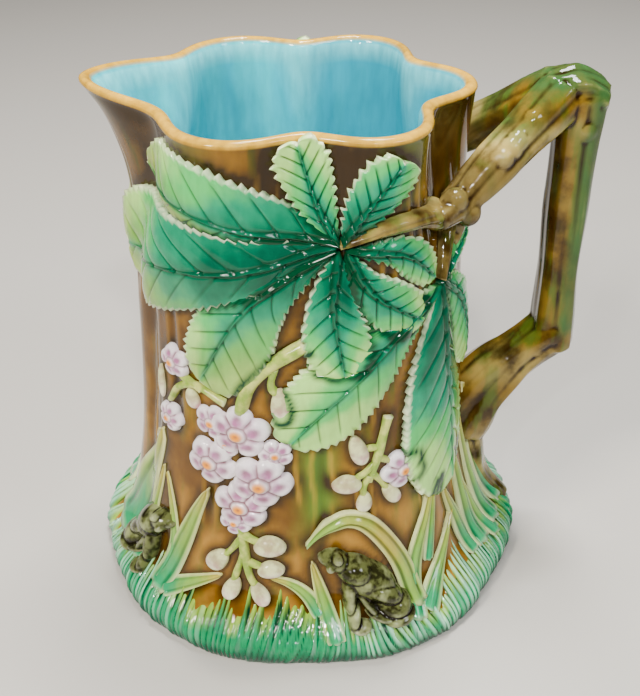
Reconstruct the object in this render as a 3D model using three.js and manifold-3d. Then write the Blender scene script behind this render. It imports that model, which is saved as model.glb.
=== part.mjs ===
// A majolica pitcher, cast in one piece as a hollow tree stump. Horse chestnut leaves, blossom,
// blades and two frogs stand out of the bark, grass runs round the foot, and the handle is a
// jointed branch that forks round the rim. Millimetres, +Z up, handle on +X, spout on -X.
import * as THREE from 'three';
import { mergeVertices } from 'three/addons/utils/BufferGeometryUtils.js';
import Module from 'manifold-3d';

const wasm = await Module();
wasm.setup();

// Trunk
const RIM_HEIGHT = 195;
const TRUNK_RADIUS = 60.5;
const ROOT_SPREAD = 23.5;
const ROOT_HEIGHT = 40;
const FOOT_BULGE = 7;
const FOOT_BULGE_HEIGHT = 8;
const RIM_FLARE = 3.5;
const RIM_FLARE_DROP = 35;
const LOBE_START = 120;
const SPOUT_REACH = 10.5;
const SPOUT_LIFT = 3.7;
const SPOUT_DROP = 45;
const SPOUT_TURN = 0.3;
const SHOULDER_SHARE = 0.14;
const SHOULDER_TURN = 0.75;
const SPOUT_LIFT_TURN = 0.5;
const HANDLE_SIDE_FLATTER = 3;
const SPOUT_SIDE_FULLER = 1.5;
const LIP_ROUNDING = 1.6;

// Inside and underside
const WALL = 5;
const FLOOR_HEIGHT = 9;
const FLOOR_CORNER = 7;
const FOOT_WALL = 20;
const WAIST_HEIGHT = 41;
const WAIST_WALL = 8;
const FOOT_RING_INSIDE = 70;
const FOOT_RECESS = 3.5;

// Grass round the foot
const GRASS_BLADES = 28;
const GRASS_HEIGHT = 20;
const GRASS_RAGGED = 4;
const GRASS_THICKNESS = 2.2;

// Relief
const SUNK = 7;
const LEAF_EDGE = 1.7;
const LEAF_BULGE = 2;
const LEAF_TOOTH = 0.09;
const STEM_RADIUS = 1.9;
const BLADE_THICKNESS = 2.4;
const BLOSSOM_SCALLOP = 0.13;
const SMALLEST_OPEN_BLOSSOM = 6.8;

// Handle
const HANDLE_REACH = 96.5;
const HANDLE_WIDTH = 19;
const HANDLE_THICKNESS = 16.5;
const HANDLE_ROOT_HEIGHT = 62;
const HANDLE_ELBOW_HEIGHT = 92;
const HANDLE_TOP_BELOW_RIM = 8;
const FORK_RADIUS = 7.5;
const KNOT_RADIUS = 5;

// Facets of the trunk: columns round it, and rows up its outside and inside as shares of a height
const TRUNK_COLUMNS = 36;
const TRUNK_ROWS = [0.013, 0.046, 0.1, 0.18, 0.3, 0.51, 0.708, 0.841, 0.94];
const CAVITY_ROWS = [0.4, 0.7, 0.88, 1];

const radians = THREE.MathUtils.degToRad;
const smoothstep = THREE.MathUtils.smoothstep;
const mix = THREE.MathUtils.lerp;

// The valleys between the lobes, each on both sides of the handle: its angle at the rim and lower
// down, its depth at the rim and lower down, and its width at both, in degrees.
const VALLEYS = [
  { angle: [30, 30], depth: [12.5, 1.8], width: [17, 14] },
  { angle: [90, 90], depth: [13, 2.5], width: [17, 12] },
  { angle: [150, 161], depth: [10, 5], width: [17, 8] },
];
const FOOT_VALLEY_DEPTH = 3;
const FOOT_VALLEY_WIDTH = 15;
const FOOT_VALLEY_TOP = 45;

// Angle between a direction and another one, without sign, in radians.
function turn(angle, from) {
  return Math.abs(Math.atan2(Math.sin(angle - from), Math.cos(angle - from)));
}

// The round stump, before its lobes and spout.
function plainRadius(z) {
  const roots = ROOT_SPREAD * Math.exp(-z / ROOT_HEIGHT);
  const bulge = FOOT_BULGE * Math.exp(-(((z - FOOT_BULGE_HEIGHT) / FOOT_BULGE_HEIGHT) ** 2));
  const up = Math.max(0, z - (RIM_HEIGHT - RIM_FLARE_DROP)) / RIM_FLARE_DROP;
  return TRUNK_RADIUS + roots + bulge + RIM_FLARE * up ** 2;
}

// The bark: the stump with six lobes that deepen to the rim, and the spout drawn out on -X.
function barkRadius(angle, z) {
  const rimward = smoothstep(z, LOBE_START, RIM_HEIGHT);
  const foot = 1 - smoothstep(z, FOOT_BULGE_HEIGHT, FOOT_VALLEY_TOP);
  let radius = plainRadius(z);
  for (const valley of VALLEYS) {
    const at = radians(mix(valley.angle[1], valley.angle[0], rimward));
    const open = mix(valley.depth[1], valley.depth[0], rimward ** 1.3);
    const depth = mix(open, FOOT_VALLEY_DEPTH, foot);
    const width = radians(mix(mix(valley.width[1], valley.width[0], rimward), FOOT_VALLEY_WIDTH, foot));
    for (const side of [1, -1]) radius -= depth * Math.exp(-((turn(angle, side * at) / width) ** 2));
  }
  const away = turn(angle, Math.PI);
  const drawn = THREE.MathUtils.clamp((z - RIM_HEIGHT + SPOUT_DROP) / SPOUT_DROP, 0, 1.1) ** 2;
  const spout = Math.exp(-((away / SPOUT_TURN) ** 1.5));
  const shoulders = SHOULDER_SHARE * Math.exp(-((away / SHOULDER_TURN) ** 4));
  radius += drawn * SPOUT_REACH * (spout + shoulders);
  const low = Math.min(1, z / ROOT_HEIGHT);
  const towardsHandle = Math.max(0, Math.cos(angle)) ** 2;
  const towardsSpout = Math.max(0, -Math.cos(angle)) ** 2;
  return radius - low * (HANDLE_SIDE_FLATTER * towardsHandle - SPOUT_SIDE_FULLER * towardsSpout);
}

function spoutLift(angle, z) {
  const up = THREE.MathUtils.clamp((z - RIM_HEIGHT + SPOUT_DROP) / SPOUT_DROP, 0, 1);
  return SPOUT_LIFT * up * Math.exp(-((turn(angle, Math.PI) / SPOUT_LIFT_TURN) ** 2));
}

// The relief is drawn on an unrolled sheet: degrees round from the handle, where one degree is
// close to a millimetre and the front is negative, and millimetres up, given as a percentage of
// the rim height. The third measure is how far the point stands out from the bark.
function onBark(degrees, up, out) {
  const angle = radians(degrees);
  const radius = barkRadius(angle, up) + out;
  return new THREE.Vector3(
    radius * Math.cos(angle),
    radius * Math.sin(angle),
    up + spoutLift(angle, up),
  );
}

const sheetPoint = ([degrees, percent]) => new THREE.Vector3(degrees, (percent * RIM_HEIGHT) / 100, 0);

// Moves every corner of a closed geometry by a rule, and makes a solid of it.
function shaped(geometry, place) {
  geometry.deleteAttribute('normal');
  geometry.deleteAttribute('uv');
  const merged = mergeVertices(geometry, 1e-4);
  const corners = merged.attributes.position;
  for (let i = 0; i < corners.count; i++) {
    const moved = place(new THREE.Vector3().fromBufferAttribute(corners, i));
    corners.setXYZ(i, moved.x, moved.y, moved.z);
  }
  return solid(merged);
}

// A closed geometry as a solid with its faces pointing out.
function solid(geometry) {
  const corners = new Float32Array(geometry.attributes.position.array);
  const faces = new Uint32Array(geometry.index.array);
  const [a, b, c] = [new THREE.Vector3(), new THREE.Vector3(), new THREE.Vector3()];
  let volume = 0;
  for (let i = 0; i < faces.length; i += 3) {
    a.fromArray(corners, 3 * faces[i]);
    b.fromArray(corners, 3 * faces[i + 1]);
    c.fromArray(corners, 3 * faces[i + 2]);
    volume += a.dot(b.cross(c)) / 6;
  }
  if (volume < 0) {
    for (let i = 0; i < faces.length; i += 3) [faces[i], faces[i + 1]] = [faces[i + 1], faces[i]];
  }
  return new wasm.Manifold(new wasm.Mesh({ numProp: 3, vertProperties: corners, triVerts: faces }));
}

// A turned form about Z whose profile gives radius and height.
function turned(profile, columns, place) {
  const points = profile.map(([radius, z]) => new THREE.Vector2(radius, z));
  return shaped(new THREE.LatheGeometry(points, columns).rotateX(Math.PI / 2), place);
}

// Pulls a turned form out to the lobes and the spout; its middle stays where it is.
function lobed(point) {
  const radius = Math.hypot(point.x, point.y);
  const angle = Math.atan2(point.y, point.x);
  const plain = plainRadius(point.z);
  const share = smoothstep(radius, 0, plain - FOOT_WALL);
  const grown = radius + (barkRadius(angle, point.z) - plain) * share;
  return new THREE.Vector3(
    grown * Math.cos(angle),
    grown * Math.sin(angle),
    point.z + spoutLift(angle, point.z) * share,
  );
}

function trunk() {
  const heights = TRUNK_ROWS.map((share) => share * RIM_HEIGHT);
  const profile = [
    [0, 0],
    [plainRadius(0) - LIP_ROUNDING, 0],
    ...heights.map((z) => [plainRadius(z), z]),
    [plainRadius(RIM_HEIGHT), RIM_HEIGHT - LIP_ROUNDING],
    [plainRadius(RIM_HEIGHT) - LIP_ROUNDING, RIM_HEIGHT],
    [0, RIM_HEIGHT],
  ];
  return turned(profile, TRUNK_COLUMNS, lobed);
}

// The space inside: a flat floor, a rounded corner, and the lobes of the wall up to the rim.
function cavity() {
  const corner = FLOOR_HEIGHT + FLOOR_CORNER;
  const insideFoot = plainRadius(corner) - FOOT_WALL;
  const steps = CAVITY_ROWS.map((share) => mix(WAIST_HEIGHT, RIM_HEIGHT, share));
  const profile = [
    [0, FLOOR_HEIGHT],
    [insideFoot - FLOOR_CORNER, FLOOR_HEIGHT],
    [insideFoot - FLOOR_CORNER / 3, FLOOR_HEIGHT + FLOOR_CORNER / 3],
    [insideFoot, corner],
    [plainRadius(WAIST_HEIGHT) - WAIST_WALL, WAIST_HEIGHT],
    ...steps.map((z) => [plainRadius(z) - WALL, z]),
    [plainRadius(RIM_HEIGHT) - WALL, RIM_HEIGHT + SPOUT_LIFT],
    [0, RIM_HEIGHT + SPOUT_LIFT],
  ];
  return turned(profile, TRUNK_COLUMNS, lobed);
}

function footRecess() {
  const disc = new THREE.CylinderGeometry(FOOT_RING_INSIDE, FOOT_RING_INSIDE, 2 * FOOT_RECESS, TRUNK_COLUMNS);
  return shaped(disc.rotateX(Math.PI / 2), (point) => point);
}

// Combed grass: every other column is the ridge of a blade, and its tip is higher.
function grass() {
  const columns = 2 * GRASS_BLADES;
  const profile = [
    [0.1, GRASS_HEIGHT],
    [GRASS_THICKNESS, 0.4 * GRASS_HEIGHT],
    [0.3 * GRASS_THICKNESS, 0],
    [-SUNK, 0],
    [0.1, GRASS_HEIGHT],
  ];
  const ring = profile.map(([out, z]) => [plainRadius(z) + out, z]);
  return turned(ring, columns, (point) => {
    const angle = Math.atan2(point.y, point.x);
    const column = Math.round((angle / Math.PI) * GRASS_BLADES) + GRASS_BLADES;
    const ridge = column % 2;
    const out = Math.hypot(point.x, point.y) - plainRadius(point.z);
    const shownOut = out > 0 ? out * (ridge ? 1 : 0.45) : out;
    const up = point.z / GRASS_HEIGHT;
    const ragged = ridge ? GRASS_RAGGED * Math.sin(2.4 * column) : -GRASS_RAGGED;
    const z = point.z + ragged * up ** 2;
    const radius = barkRadius(angle, z) + shownOut;
    return new THREE.Vector3(radius * Math.cos(angle), radius * Math.sin(angle), z);
  });
}

// A strip of relief along a path on the sheet. half(t, across) is its half width and
// out(t, across) its height over the bark, for t from 0 to 1 and across from -1 to 1.
// The far side of the trunk, side -1, carries the same strip mirrored.
function strip({ path, half, out, across, along, side }) {
  const curve = new THREE.CatmullRomCurve3(path.map(sheetPoint));
  return shaped(new THREE.BoxGeometry(2, 1, 1, across, along, 1), (point) => {
    const t = THREE.MathUtils.clamp(point.y + 0.5, 0, 1);
    const middle = curve.getPointAt(t);
    const forward = curve.getTangentAt(t);
    const reach = point.x * half(t, point.x);
    const height = point.z > 0 ? out(t, point.x) : -SUNK;
    return onBark(side * (middle.x + forward.y * reach), middle.y - forward.x * reach, height);
  });
}

// One leaflet: narrow at its root, broadest past its middle, toothed, and grooved along its rib.
function leaflet({ path, left, right, widest, lift }, side) {
  const along = side < 0 ? 6 : 4;
  const across = side < 0 && left + right > 20 ? 4 : 2;
  const power = Math.log(0.5) / Math.log(widest);
  const groove = (to) => (across > 2 ? Math.max(0, 1 - 3 * Math.abs(to)) : 0);
  return strip({
    path,
    across,
    along,
    side: -side,
    half: (t, to) => {
      const tooth = 1 + LEAF_TOOTH * (Math.round(t * along) % 2 ? 1 : -1);
      const limb = Math.sin(Math.PI * t ** power) ** 0.75 || 0;
      return 0.7 + (to < 0 ? left : right) * limb * tooth;
    },
    out: (t, to) => {
      const crown = 1 - to ** 2 - 0.5 * groove(to);
      return LEAF_EDGE + lift + LEAF_BULGE * crown * Math.sin(Math.PI * Math.min(1, t + 0.1));
    },
  });
}

// Leaflets of the two leaves, drawn on the front: the rib's path, the half widths left and right
// of it in its own direction, where it is broadest, and how far it lies over its neighbours.
const UPPER_LEAF = [
  { path: [[-80, 82.3], [-105, 85.1], [-130, 88.2], [-153, 90.2]], left: 6, right: 15, widest: 0.5, lift: 0 },
  { path: [[-80, 82.3], [-87, 89.7], [-92.5, 98.6]], left: 8.5, right: 8, widest: 0.6, lift: 0.3 },
  { path: [[-79, 82.3], [-73, 88.2], [-62.5, 96]], left: 7, right: 8.5, widest: 0.6, lift: 0.3 },
  { path: [[-78, 81.5], [-61, 80], [-46, 73]], left: 6, right: 5, widest: 0.6, lift: 0 },
  { path: [[-81, 81.5], [-100, 75.9], [-111, 69.7], [-124.5, 56]], left: 14.5, right: 11, widest: 0.62, lift: 0 },
  { path: [[-80, 81.5], [-82.5, 72], [-79.5, 59.3]], left: 9, right: 9.5, widest: 0.6, lift: 0.8 },
  { path: [[-78, 81.5], [-71, 74.5], [-53, 66.2]], left: 7.5, right: 8, widest: 0.58, lift: 0.4 },
  { path: [[-81, 82], [-106, 79.2], [-137, 76.2], [-167, 73]], left: 16.5, right: 20, widest: 0.66, lift: 1.3 },
];
const LOWER_LEAF = [
  { path: [[-38, 70], [-24, 62.5], [-9, 46]], left: 11, right: 10, widest: 0.5, lift: 0 },
  { path: [[-39, 70], [-28, 73], [-11, 77.5]], left: 6, right: 7, widest: 0.5, lift: 0 },
  { path: [[-41, 70], [-60, 66], [-76, 57.5], [-96, 45.2]], left: 13, right: 14, widest: 0.58, lift: 0 },
  { path: [[-40, 70.5], [-39.5, 55], [-36, 42], [-35, 26.7]], left: 12, right: 22, widest: 0.5, lift: 1 },
];

// A rounded lump of relief. rule(angle) shapes its outline, as on a blossom with five petals.
function lump({ at, wide, tall, high, lean = 0, columns = 6, rings = 3, lift = 0 }, side, rule) {
  const centre = sheetPoint(at);
  const tilt = radians(lean);
  const ball = new THREE.SphereGeometry(1, columns, rings).rotateX(Math.PI / 2);
  return shaped(ball, (point) => {
    const outline = rule ? rule(Math.atan2(point.y, point.x)) : 1;
    const x = point.x * wide * outline;
    const y = point.y * tall * outline;
    const degrees = centre.x + x * Math.cos(tilt) - y * Math.sin(tilt);
    const up = centre.y + x * Math.sin(tilt) + y * Math.cos(tilt);
    return onBark(-side * degrees, up, point.z > 0 ? lift + point.z * high : point.z * SUNK);
  });
}

// Blossom: place, radius and height of each, then the buds: place, half width, half length, lean.
const BLOSSOM = [
  [[-112.5, 46.7], 9, 4.2], [[-122, 38.5], 8.3, 4], [[-106.5, 35.9], 9.2, 4.6], [[-112, 31], 8.4, 4.2],
  [[-121, 46.5], 6, 2.6], [[-101, 42.3], 5.5, 2.6], [[-114, 26.5], 5, 2.6],
  [[-137.5, 56.4], 6.5, 3], [[-140.6, 43.6], 5.8, 3], [[-59.4, 35.9], 7, 3.2],
];
const BUDS = [
  [[-99, 53], 3.4, 6.5, 5], [[-130, 50], 2.6, 4, 20],
  [[-103.5, 22.3], 3.8, 5.2, 95], [[-103.5, 17.2], 3, 4, 75], [[-119.5, 17.4], 3.2, 4.6, -30],
  [[-114, 12.6], 2.6, 4, -20], [[-106, 12.2], 2.6, 4.4, 25],
  [[-74, 41.3], 3.3, 6, 15], [[-78, 35.4], 4.6, 3.4, 0], [[-73, 31.3], 2.6, 4, 0], [[-64, 31.3], 2.8, 4.8, 35],
];
const STEMS = [
  [[-91, 64.6], [-101, 61], [-109, 56], [-112, 51]],
  [[-100, 60], [-101, 57], [-99, 55]],
  [[-117, 52], [-128, 53.5], [-136, 51], [-143, 47]],
  [[-112.5, 25], [-111, 20], [-108, 14]],
  [[-64, 48], [-67.5, 41], [-71, 34.5]],
];

// An open blossom has five petals; a smaller one is a plain lump.
function blossom([at, radius, height], side) {
  const open = radius > SMALLEST_OPEN_BLOSSOM;
  const petals = (angle) => (open ? 1 + BLOSSOM_SCALLOP * Math.cos(5 * angle) : 1);
  return lump({ at, wide: radius, tall: radius, high: height, columns: open ? 10 : 5 }, side, petals);
}

const bud = ([at, wide, tall, lean], side) => lump({ at, wide, tall, high: wide, lean, columns: 5 }, side);

function stem(path, side) {
  return strip({
    path,
    across: 2,
    along: path.length - 1,
    side: -side,
    half: () => STEM_RADIUS,
    out: (t, across) => STEM_RADIUS * (1.2 - Math.abs(across)),
  });
}

// Tall blades that rise out of the grass: path, and half width at the root.
const BLADES = [
  { path: [[-166, 7], [-160, 20], [-147, 38]], half: 9 },
  { path: [[-137, 7], [-133, 16], [-126, 31]], half: 3.4 },
  { path: [[-134, 8], [-128, 11], [-118, 14.5]], half: 2.4 },
  { path: [[-88, 7], [-93, 12], [-102, 15.6]], half: 2 },
  { path: [[-84, 5], [-87, 11], [-89.5, 18]], half: 2 },
  { path: [[-90, 21.5], [-85, 26.5], [-79.5, 28.7], [-73, 26], [-66, 19], [-60.5, 9]], half: 3.6 },
  { path: [[-61, 7], [-54, 17], [-46, 29]], half: 2.8 },
  { path: [[-57, 7], [-46, 12], [-35, 18]], half: 2.6 },
  { path: [[-31, 7], [-33, 15], [-38, 24]], half: 3 },
  { path: [[-26, 7], [-26, 20], [-30, 33]], half: 3.4 },
  { path: [[-14, 7], [-15, 20], [-20, 34]], half: 3.6 },
  { path: [[-4, 7], [-5, 20], [-8, 37]], half: 3.8 },
];

function blade({ path, half }, side) {
  return strip({
    path,
    across: 2,
    along: path.length - 1,
    side: -side,
    half: (t) => 0.5 + half * (1 - t ** 2),
    out: (t, across) => BLADE_THICKNESS * (0.45 + 0.55 * (1 - Math.abs(across))),
  });
}

// A frog sits low on its haunches with its head up. The parts of it are its body, head, eye,
// haunch, foot and foreleg: shift round and up, half width and length, height, and lean.
const FROGS = [
  { at: [-74, 15], face: 1 },
  { at: [-150, 15], face: -1 },
];
const FROG_PARTS = [
  { shift: [0, 0], wide: 7, tall: 11, high: 6.5, lean: 48 },
  { shift: [-6.5, 2.8], wide: 4.8, tall: 5, high: 6.5, lean: 0 },
  { shift: [-4, 4.2], wide: 1.6, tall: 1.6, high: 2.6, lean: 0, lift: 5.5 },
  { shift: [5.5, -4.2], wide: 4.5, tall: 7.5, high: 6, lean: 20 },
  { shift: [9, -7.2], wide: 5.5, tall: 2, high: 5, lean: 0 },
  { shift: [-5, -6], wide: 2, tall: 6.5, high: 5, lean: -10 },
];

function frog({ at: [degrees, percent], face }) {
  return FROG_PARTS.map(({ shift: [x, y], lean, ...form }) =>
    lump({ at: [degrees + face * x, percent + y], lean: face * lean, ...form }, -1));
}

// A log between points in space. widths are across (along Y) and thick, at both ends.
function log({ points, across, thick, sides = 6, steps = 4 }) {
  const curve = new THREE.CatmullRomCurve3(points);
  const stock = new THREE.CylinderGeometry(1, 1, 1, sides, steps);
  return shaped(stock, (point) => {
    const t = THREE.MathUtils.clamp(point.y + 0.5, 0, 1);
    const along = curve.getTangentAt(t);
    const wide = new THREE.Vector3(0, 1, 0).addScaledVector(along, -along.y).normalize();
    const deep = wide.clone().cross(along);
    return curve.getPointAt(t)
      .addScaledVector(wide, (point.x * mix(across[0], across[1], t)) / 2)
      .addScaledVector(deep, (point.z * mix(thick[0], thick[1], t)) / 2);
  });
}

function knot(centre, radius) {
  return shaped(new THREE.SphereGeometry(radius, 6, 4), (point) => point.add(centre));
}

// The handle: an arm up from the roots to the elbow, an upright, and a short crest.
function branch() {
  const top = RIM_HEIGHT - HANDLE_TOP_BELOW_RIM;
  const rootX = barkRadius(0, HANDLE_ROOT_HEIGHT) - WALL;
  const at = (x, z) => new THREE.Vector3(x, 0, z);
  return [
    log({
      points: [
        at(rootX, HANDLE_ROOT_HEIGHT - 8),
        at(mix(rootX, HANDLE_REACH, 0.45), mix(HANDLE_ROOT_HEIGHT, HANDLE_ELBOW_HEIGHT, 0.45)),
        at(HANDLE_REACH + 1, HANDLE_ELBOW_HEIGHT + 3),
      ],
      across: [1.5 * HANDLE_WIDTH, HANDLE_WIDTH],
      thick: [1.9 * HANDLE_THICKNESS, HANDLE_THICKNESS],
      steps: 3,
    }),
    log({
      points: [at(HANDLE_REACH + 1, HANDLE_ELBOW_HEIGHT - 5), at(HANDLE_REACH, top)],
      across: [HANDLE_WIDTH, HANDLE_WIDTH],
      thick: [HANDLE_THICKNESS, HANDLE_THICKNESS],
      steps: 2,
    }),
    log({
      points: [at(HANDLE_REACH + 6, top), at(HANDLE_REACH - 4, top + 3), at(HANDLE_REACH - 12, top + 1)],
      across: [HANDLE_WIDTH, 1.1 * HANDLE_WIDTH],
      thick: [0.7 * HANDLE_THICKNESS, HANDLE_THICKNESS],
      steps: 2,
    }),
  ];
}

// From the crest one fork runs straight down to the bark on each side of the rim. It ends there
// in two stalks, one to each leaf, and has a knot where a twig came off and one at its end.
const FORK_END = { degrees: 27, percent: 83 };
const FORK_TAIL = { degrees: 42, percent: 81.6 };
const STALKS = [
  { path: [[-36, 81], [-50, 84.2], [-64, 85.2], [-79, 82]], half: [4.6, 1.6], high: [6, 2.6] },
  { path: [[-22, 79.5], [-31, 75.5], [-39, 70.5]], half: [3.4, 1.8], high: [4.5, 3.4] },
];

function fork(side) {
  const top = RIM_HEIGHT - HANDLE_TOP_BELOW_RIM;
  const onSide = ({ degrees, percent }, out) => onBark(side * degrees, (percent * RIM_HEIGHT) / 100, out);
  const crest = new THREE.Vector3(HANDLE_REACH - 7, 2 * side, top + 3);
  const end = onSide(FORK_END, FORK_RADIUS);
  const between = (share) => crest.clone().lerp(end, share);
  const limbs = [
    log({
      points: [crest, between(0.5), end, onSide(FORK_TAIL, 2.6)],
      across: [2.3 * FORK_RADIUS, 1.5 * FORK_RADIUS],
      thick: [2.3 * FORK_RADIUS, 1.5 * FORK_RADIUS],
      steps: 5,
    }),
    knot(between(0.55).add(new THREE.Vector3(0, side * FORK_RADIUS, 1)), KNOT_RADIUS),
    knot(end.clone().add(new THREE.Vector3(1, 0, -3)), KNOT_RADIUS + 1),
  ];
  const stalks = STALKS.map(({ path, half, high }) => strip({
    path,
    across: 2,
    along: path.length,
    side: -side,
    half: (t) => mix(half[0], half[1], t),
    out: (t, across) => mix(high[0], high[1], t) * (1 - 0.6 * Math.abs(across)),
  }));
  return [...limbs, ...stalks];
}

// The root that the arm of the handle runs down into.
function handleRoot() {
  return strip({
    path: [[0, 40], [0, 25], [0, 9]],
    across: 2,
    along: 3,
    side: 1,
    half: (t) => mix(11, 5, t),
    out: (t, across) => mix(9, 3, t) * (1 - 0.6 * Math.abs(across)),
  });
}

// Both sides carry leaves, blossom and blades. The far side is plainer: it has every other
// leaflet, only the main blossom, every third blade, and no frogs.
function relief() {
  const parts = [];
  for (const side of [-1, 1]) {
    const plain = side > 0;
    const leaves = [...UPPER_LEAF, ...LOWER_LEAF];
    for (const shape of leaves.filter((_, i) => !plain || i % 2 === 1)) parts.push(leaflet(shape, side));
    for (const shape of BLOSSOM.filter((_, i) => !plain || i < 4)) parts.push(blossom(shape, side));
    for (const shape of BUDS.filter((_, i) => !plain || i === 2)) parts.push(bud(shape, side));
    for (const shape of STEMS.filter((_, i) => !plain || i === 0)) parts.push(stem(shape, side));
    for (const shape of BLADES.filter((_, i) => !plain || i % 3 === 0)) parts.push(blade(shape, side));
  }
  return [...parts, ...FROGS.flatMap(frog)];
}

function pitcherGeometry() {
  const added = [grass(), ...branch(), ...fork(1), ...fork(-1), handleRoot(), ...relief()];
  const joined = added.reduce((whole, piece) => whole.add(piece), trunk());
  const mesh = joined.subtract(cavity()).subtract(footRecess()).getMesh();
  const geometry = new THREE.BufferGeometry();
  geometry.setAttribute('position', new THREE.BufferAttribute(new Float32Array(mesh.vertProperties), 3));
  geometry.setIndex(new THREE.BufferAttribute(new Uint32Array(mesh.triVerts), 1));
  geometry.computeBoundingBox();
  return geometry;
}

// The origin is under the middle of the whole pitcher, on the surface it stands on.
const geometry = pitcherGeometry();
const { min, max } = geometry.boundingBox;
geometry.translate(-(min.x + max.x) / 2, -(min.y + max.y) / 2, -min.z);

const glaze = new THREE.MeshStandardMaterial({ color: '#8b6a34', roughness: 0.2, metalness: 0 });
const pitcher = new THREE.Mesh(geometry, glaze);
pitcher.name = 'pitcher';

const model = new THREE.Group();
model.add(pitcher);

export default model;
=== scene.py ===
import math

import bmesh
import bpy
import numpy as np
from mathutils import Matrix, Vector
from mathutils.kdtree import KDTree


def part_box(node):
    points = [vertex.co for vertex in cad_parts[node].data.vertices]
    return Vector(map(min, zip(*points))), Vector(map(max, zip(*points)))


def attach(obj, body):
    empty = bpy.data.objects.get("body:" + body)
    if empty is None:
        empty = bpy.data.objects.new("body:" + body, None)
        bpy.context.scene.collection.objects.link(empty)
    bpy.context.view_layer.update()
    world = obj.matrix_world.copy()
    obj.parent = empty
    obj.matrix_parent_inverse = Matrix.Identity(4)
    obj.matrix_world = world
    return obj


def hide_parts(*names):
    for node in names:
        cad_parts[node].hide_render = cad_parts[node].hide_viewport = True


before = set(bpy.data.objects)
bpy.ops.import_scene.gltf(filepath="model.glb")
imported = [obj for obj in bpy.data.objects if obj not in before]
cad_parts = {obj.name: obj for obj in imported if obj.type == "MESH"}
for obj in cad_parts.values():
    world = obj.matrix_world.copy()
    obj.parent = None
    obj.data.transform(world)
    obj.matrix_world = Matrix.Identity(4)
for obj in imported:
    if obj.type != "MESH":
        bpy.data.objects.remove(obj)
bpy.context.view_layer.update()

low, high = (Vector(corner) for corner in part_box("pitcher"))


# Camera. It looks a little down on the side with the blossom, the handle to the right, from where
# the rim, the foot and both outlines of the pitcher fall as they do in the photograph.
AXIS_X = low.x + 0.087066           # the trunk's own axis, behind the tip of its spout
CAMERA_TURN = math.radians(-1.32)
CAMERA_HEIGHT = math.radians(32.61)
CAMERA_ROLL = math.radians(-0.5)
CAMERA_AWAY = 0.3995
CAMERA_ASIDE = Vector((0.00515, -0.01133))
AIM_HEIGHT = 0.1
LENS = 52.8


def show(name, data):
    """Puts a camera, a lamp or a mesh in the scene."""
    shown = bpy.data.objects.new(name, data)
    bpy.context.scene.collection.objects.link(shown)
    return shown


back = Vector((
    math.sin(CAMERA_TURN) * math.cos(CAMERA_HEIGHT),
    -math.cos(CAMERA_TURN) * math.cos(CAMERA_HEIGHT),
    math.sin(CAMERA_HEIGHT),
))
level = Vector((math.cos(CAMERA_TURN), math.sin(CAMERA_TURN), 0))
upward = back.cross(level)
right = level * math.cos(CAMERA_ROLL) + upward * math.sin(CAMERA_ROLL)
over = upward * math.cos(CAMERA_ROLL) - level * math.sin(CAMERA_ROLL)
camera = show("camera", bpy.data.cameras.new("camera"))
camera.data.lens = LENS
camera.data.clip_start = 0.01
aside = level * CAMERA_ASIDE.x + upward * CAMERA_ASIDE.y
place = Vector((AXIS_X, 0, AIM_HEIGHT)) + back * CAMERA_AWAY + aside
camera.matrix_world = Matrix.Translation(place) @ Matrix((right, over, back)).transposed().to_4x4()
bpy.context.scene.camera = camera


# Floor and light. A plain pale floor, a broad soft window light from the left, a weaker one from
# the right, one from above, two small bright ones that the wet-looking glaze mirrors, and a narrow
# one into the mouth of the pitcher.
def paint(code):
    """A colour written as six hexadecimal digits, in the linear values that shaders take."""
    parts = [int(code[i:i + 2], 16) / 255 for i in (0, 2, 4)]
    return tuple(c / 12.92 if c < 0.04045 else ((c + 0.055) / 1.055) ** 2.4 for c in parts) + (1,)


FLOOR_SIZE = 3
bm = bmesh.new()
bmesh.ops.create_grid(bm, x_segments=2, y_segments=2, size=FLOOR_SIZE)
floor_mesh = bpy.data.meshes.new("floor")
bm.to_mesh(floor_mesh)
bm.free()
floor = show("floor", floor_mesh)
floor_finish = bpy.data.materials.new("pale_floor")
floor_finish.use_nodes = True
floor_shader = floor_finish.node_tree.nodes["Principled BSDF"]
floor_shader.inputs["Base Color"].default_value = paint("c0bbb2")
floor_shader.inputs["Roughness"].default_value = 0.6
floor_mesh.materials.append(floor_finish)

MOUTH_LAMP = (AXIS_X, 0.14, 1.15)
MOUTH_CONE = math.radians(9)
# name, kind, place, size across, power, colour, height aimed at
LIGHTS = [
    ("window", "AREA", (-0.7, -0.65, 1.0), 0.24, 18.0, "fff8ee", AIM_HEIGHT),
    ("room", "AREA", (0.9, -0.6, 1.0), 0.3, 7.0, "f2f6ff", AIM_HEIGHT),
    ("overhead", "AREA", (0.1, 0.25, 1.1), 0.3, 18.0, "ffffff", AIM_HEIGHT),
    ("pane", "AREA", (0.1, -0.8, 0.9), 0.055, 7.0, "ffffff", AIM_HEIGHT),
    ("lamp", "AREA", (-0.35, -0.9, 0.75), 0.035, 3.0, "ffffff", AIM_HEIGHT),
    ("mouth", "SPOT", MOUTH_LAMP, 0.12, 60.0, "ffffff", 0.15),
]
for name, kind, spot, across, power, colour, aim in LIGHTS:
    lamp = bpy.data.lights.new(name, kind)
    lamp.energy = power
    lamp.color = paint(colour)[:3]
    if kind == "AREA":
        lamp.size = across
    else:
        lamp.shadow_soft_size = across / 2
        lamp.spot_size = MOUTH_CONE
        lamp.spot_blend = 0.7
    lamp_object = show(name, lamp)
    lamp_object.location = spot
    aimed_at = Vector((AXIS_X if kind == "SPOT" else 0, 0, aim))
    lamp_object.rotation_euler = (Vector(spot) - aimed_at).to_track_quat("Z", "Y").to_euler()
world = bpy.data.worlds.new("studio")
world.use_nodes = True
world.node_tree.nodes["Background"].inputs["Color"].default_value = paint("dfe3e6")
world.node_tree.nodes["Background"].inputs["Strength"].default_value = 0.07
bpy.context.scene.world = world


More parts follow.
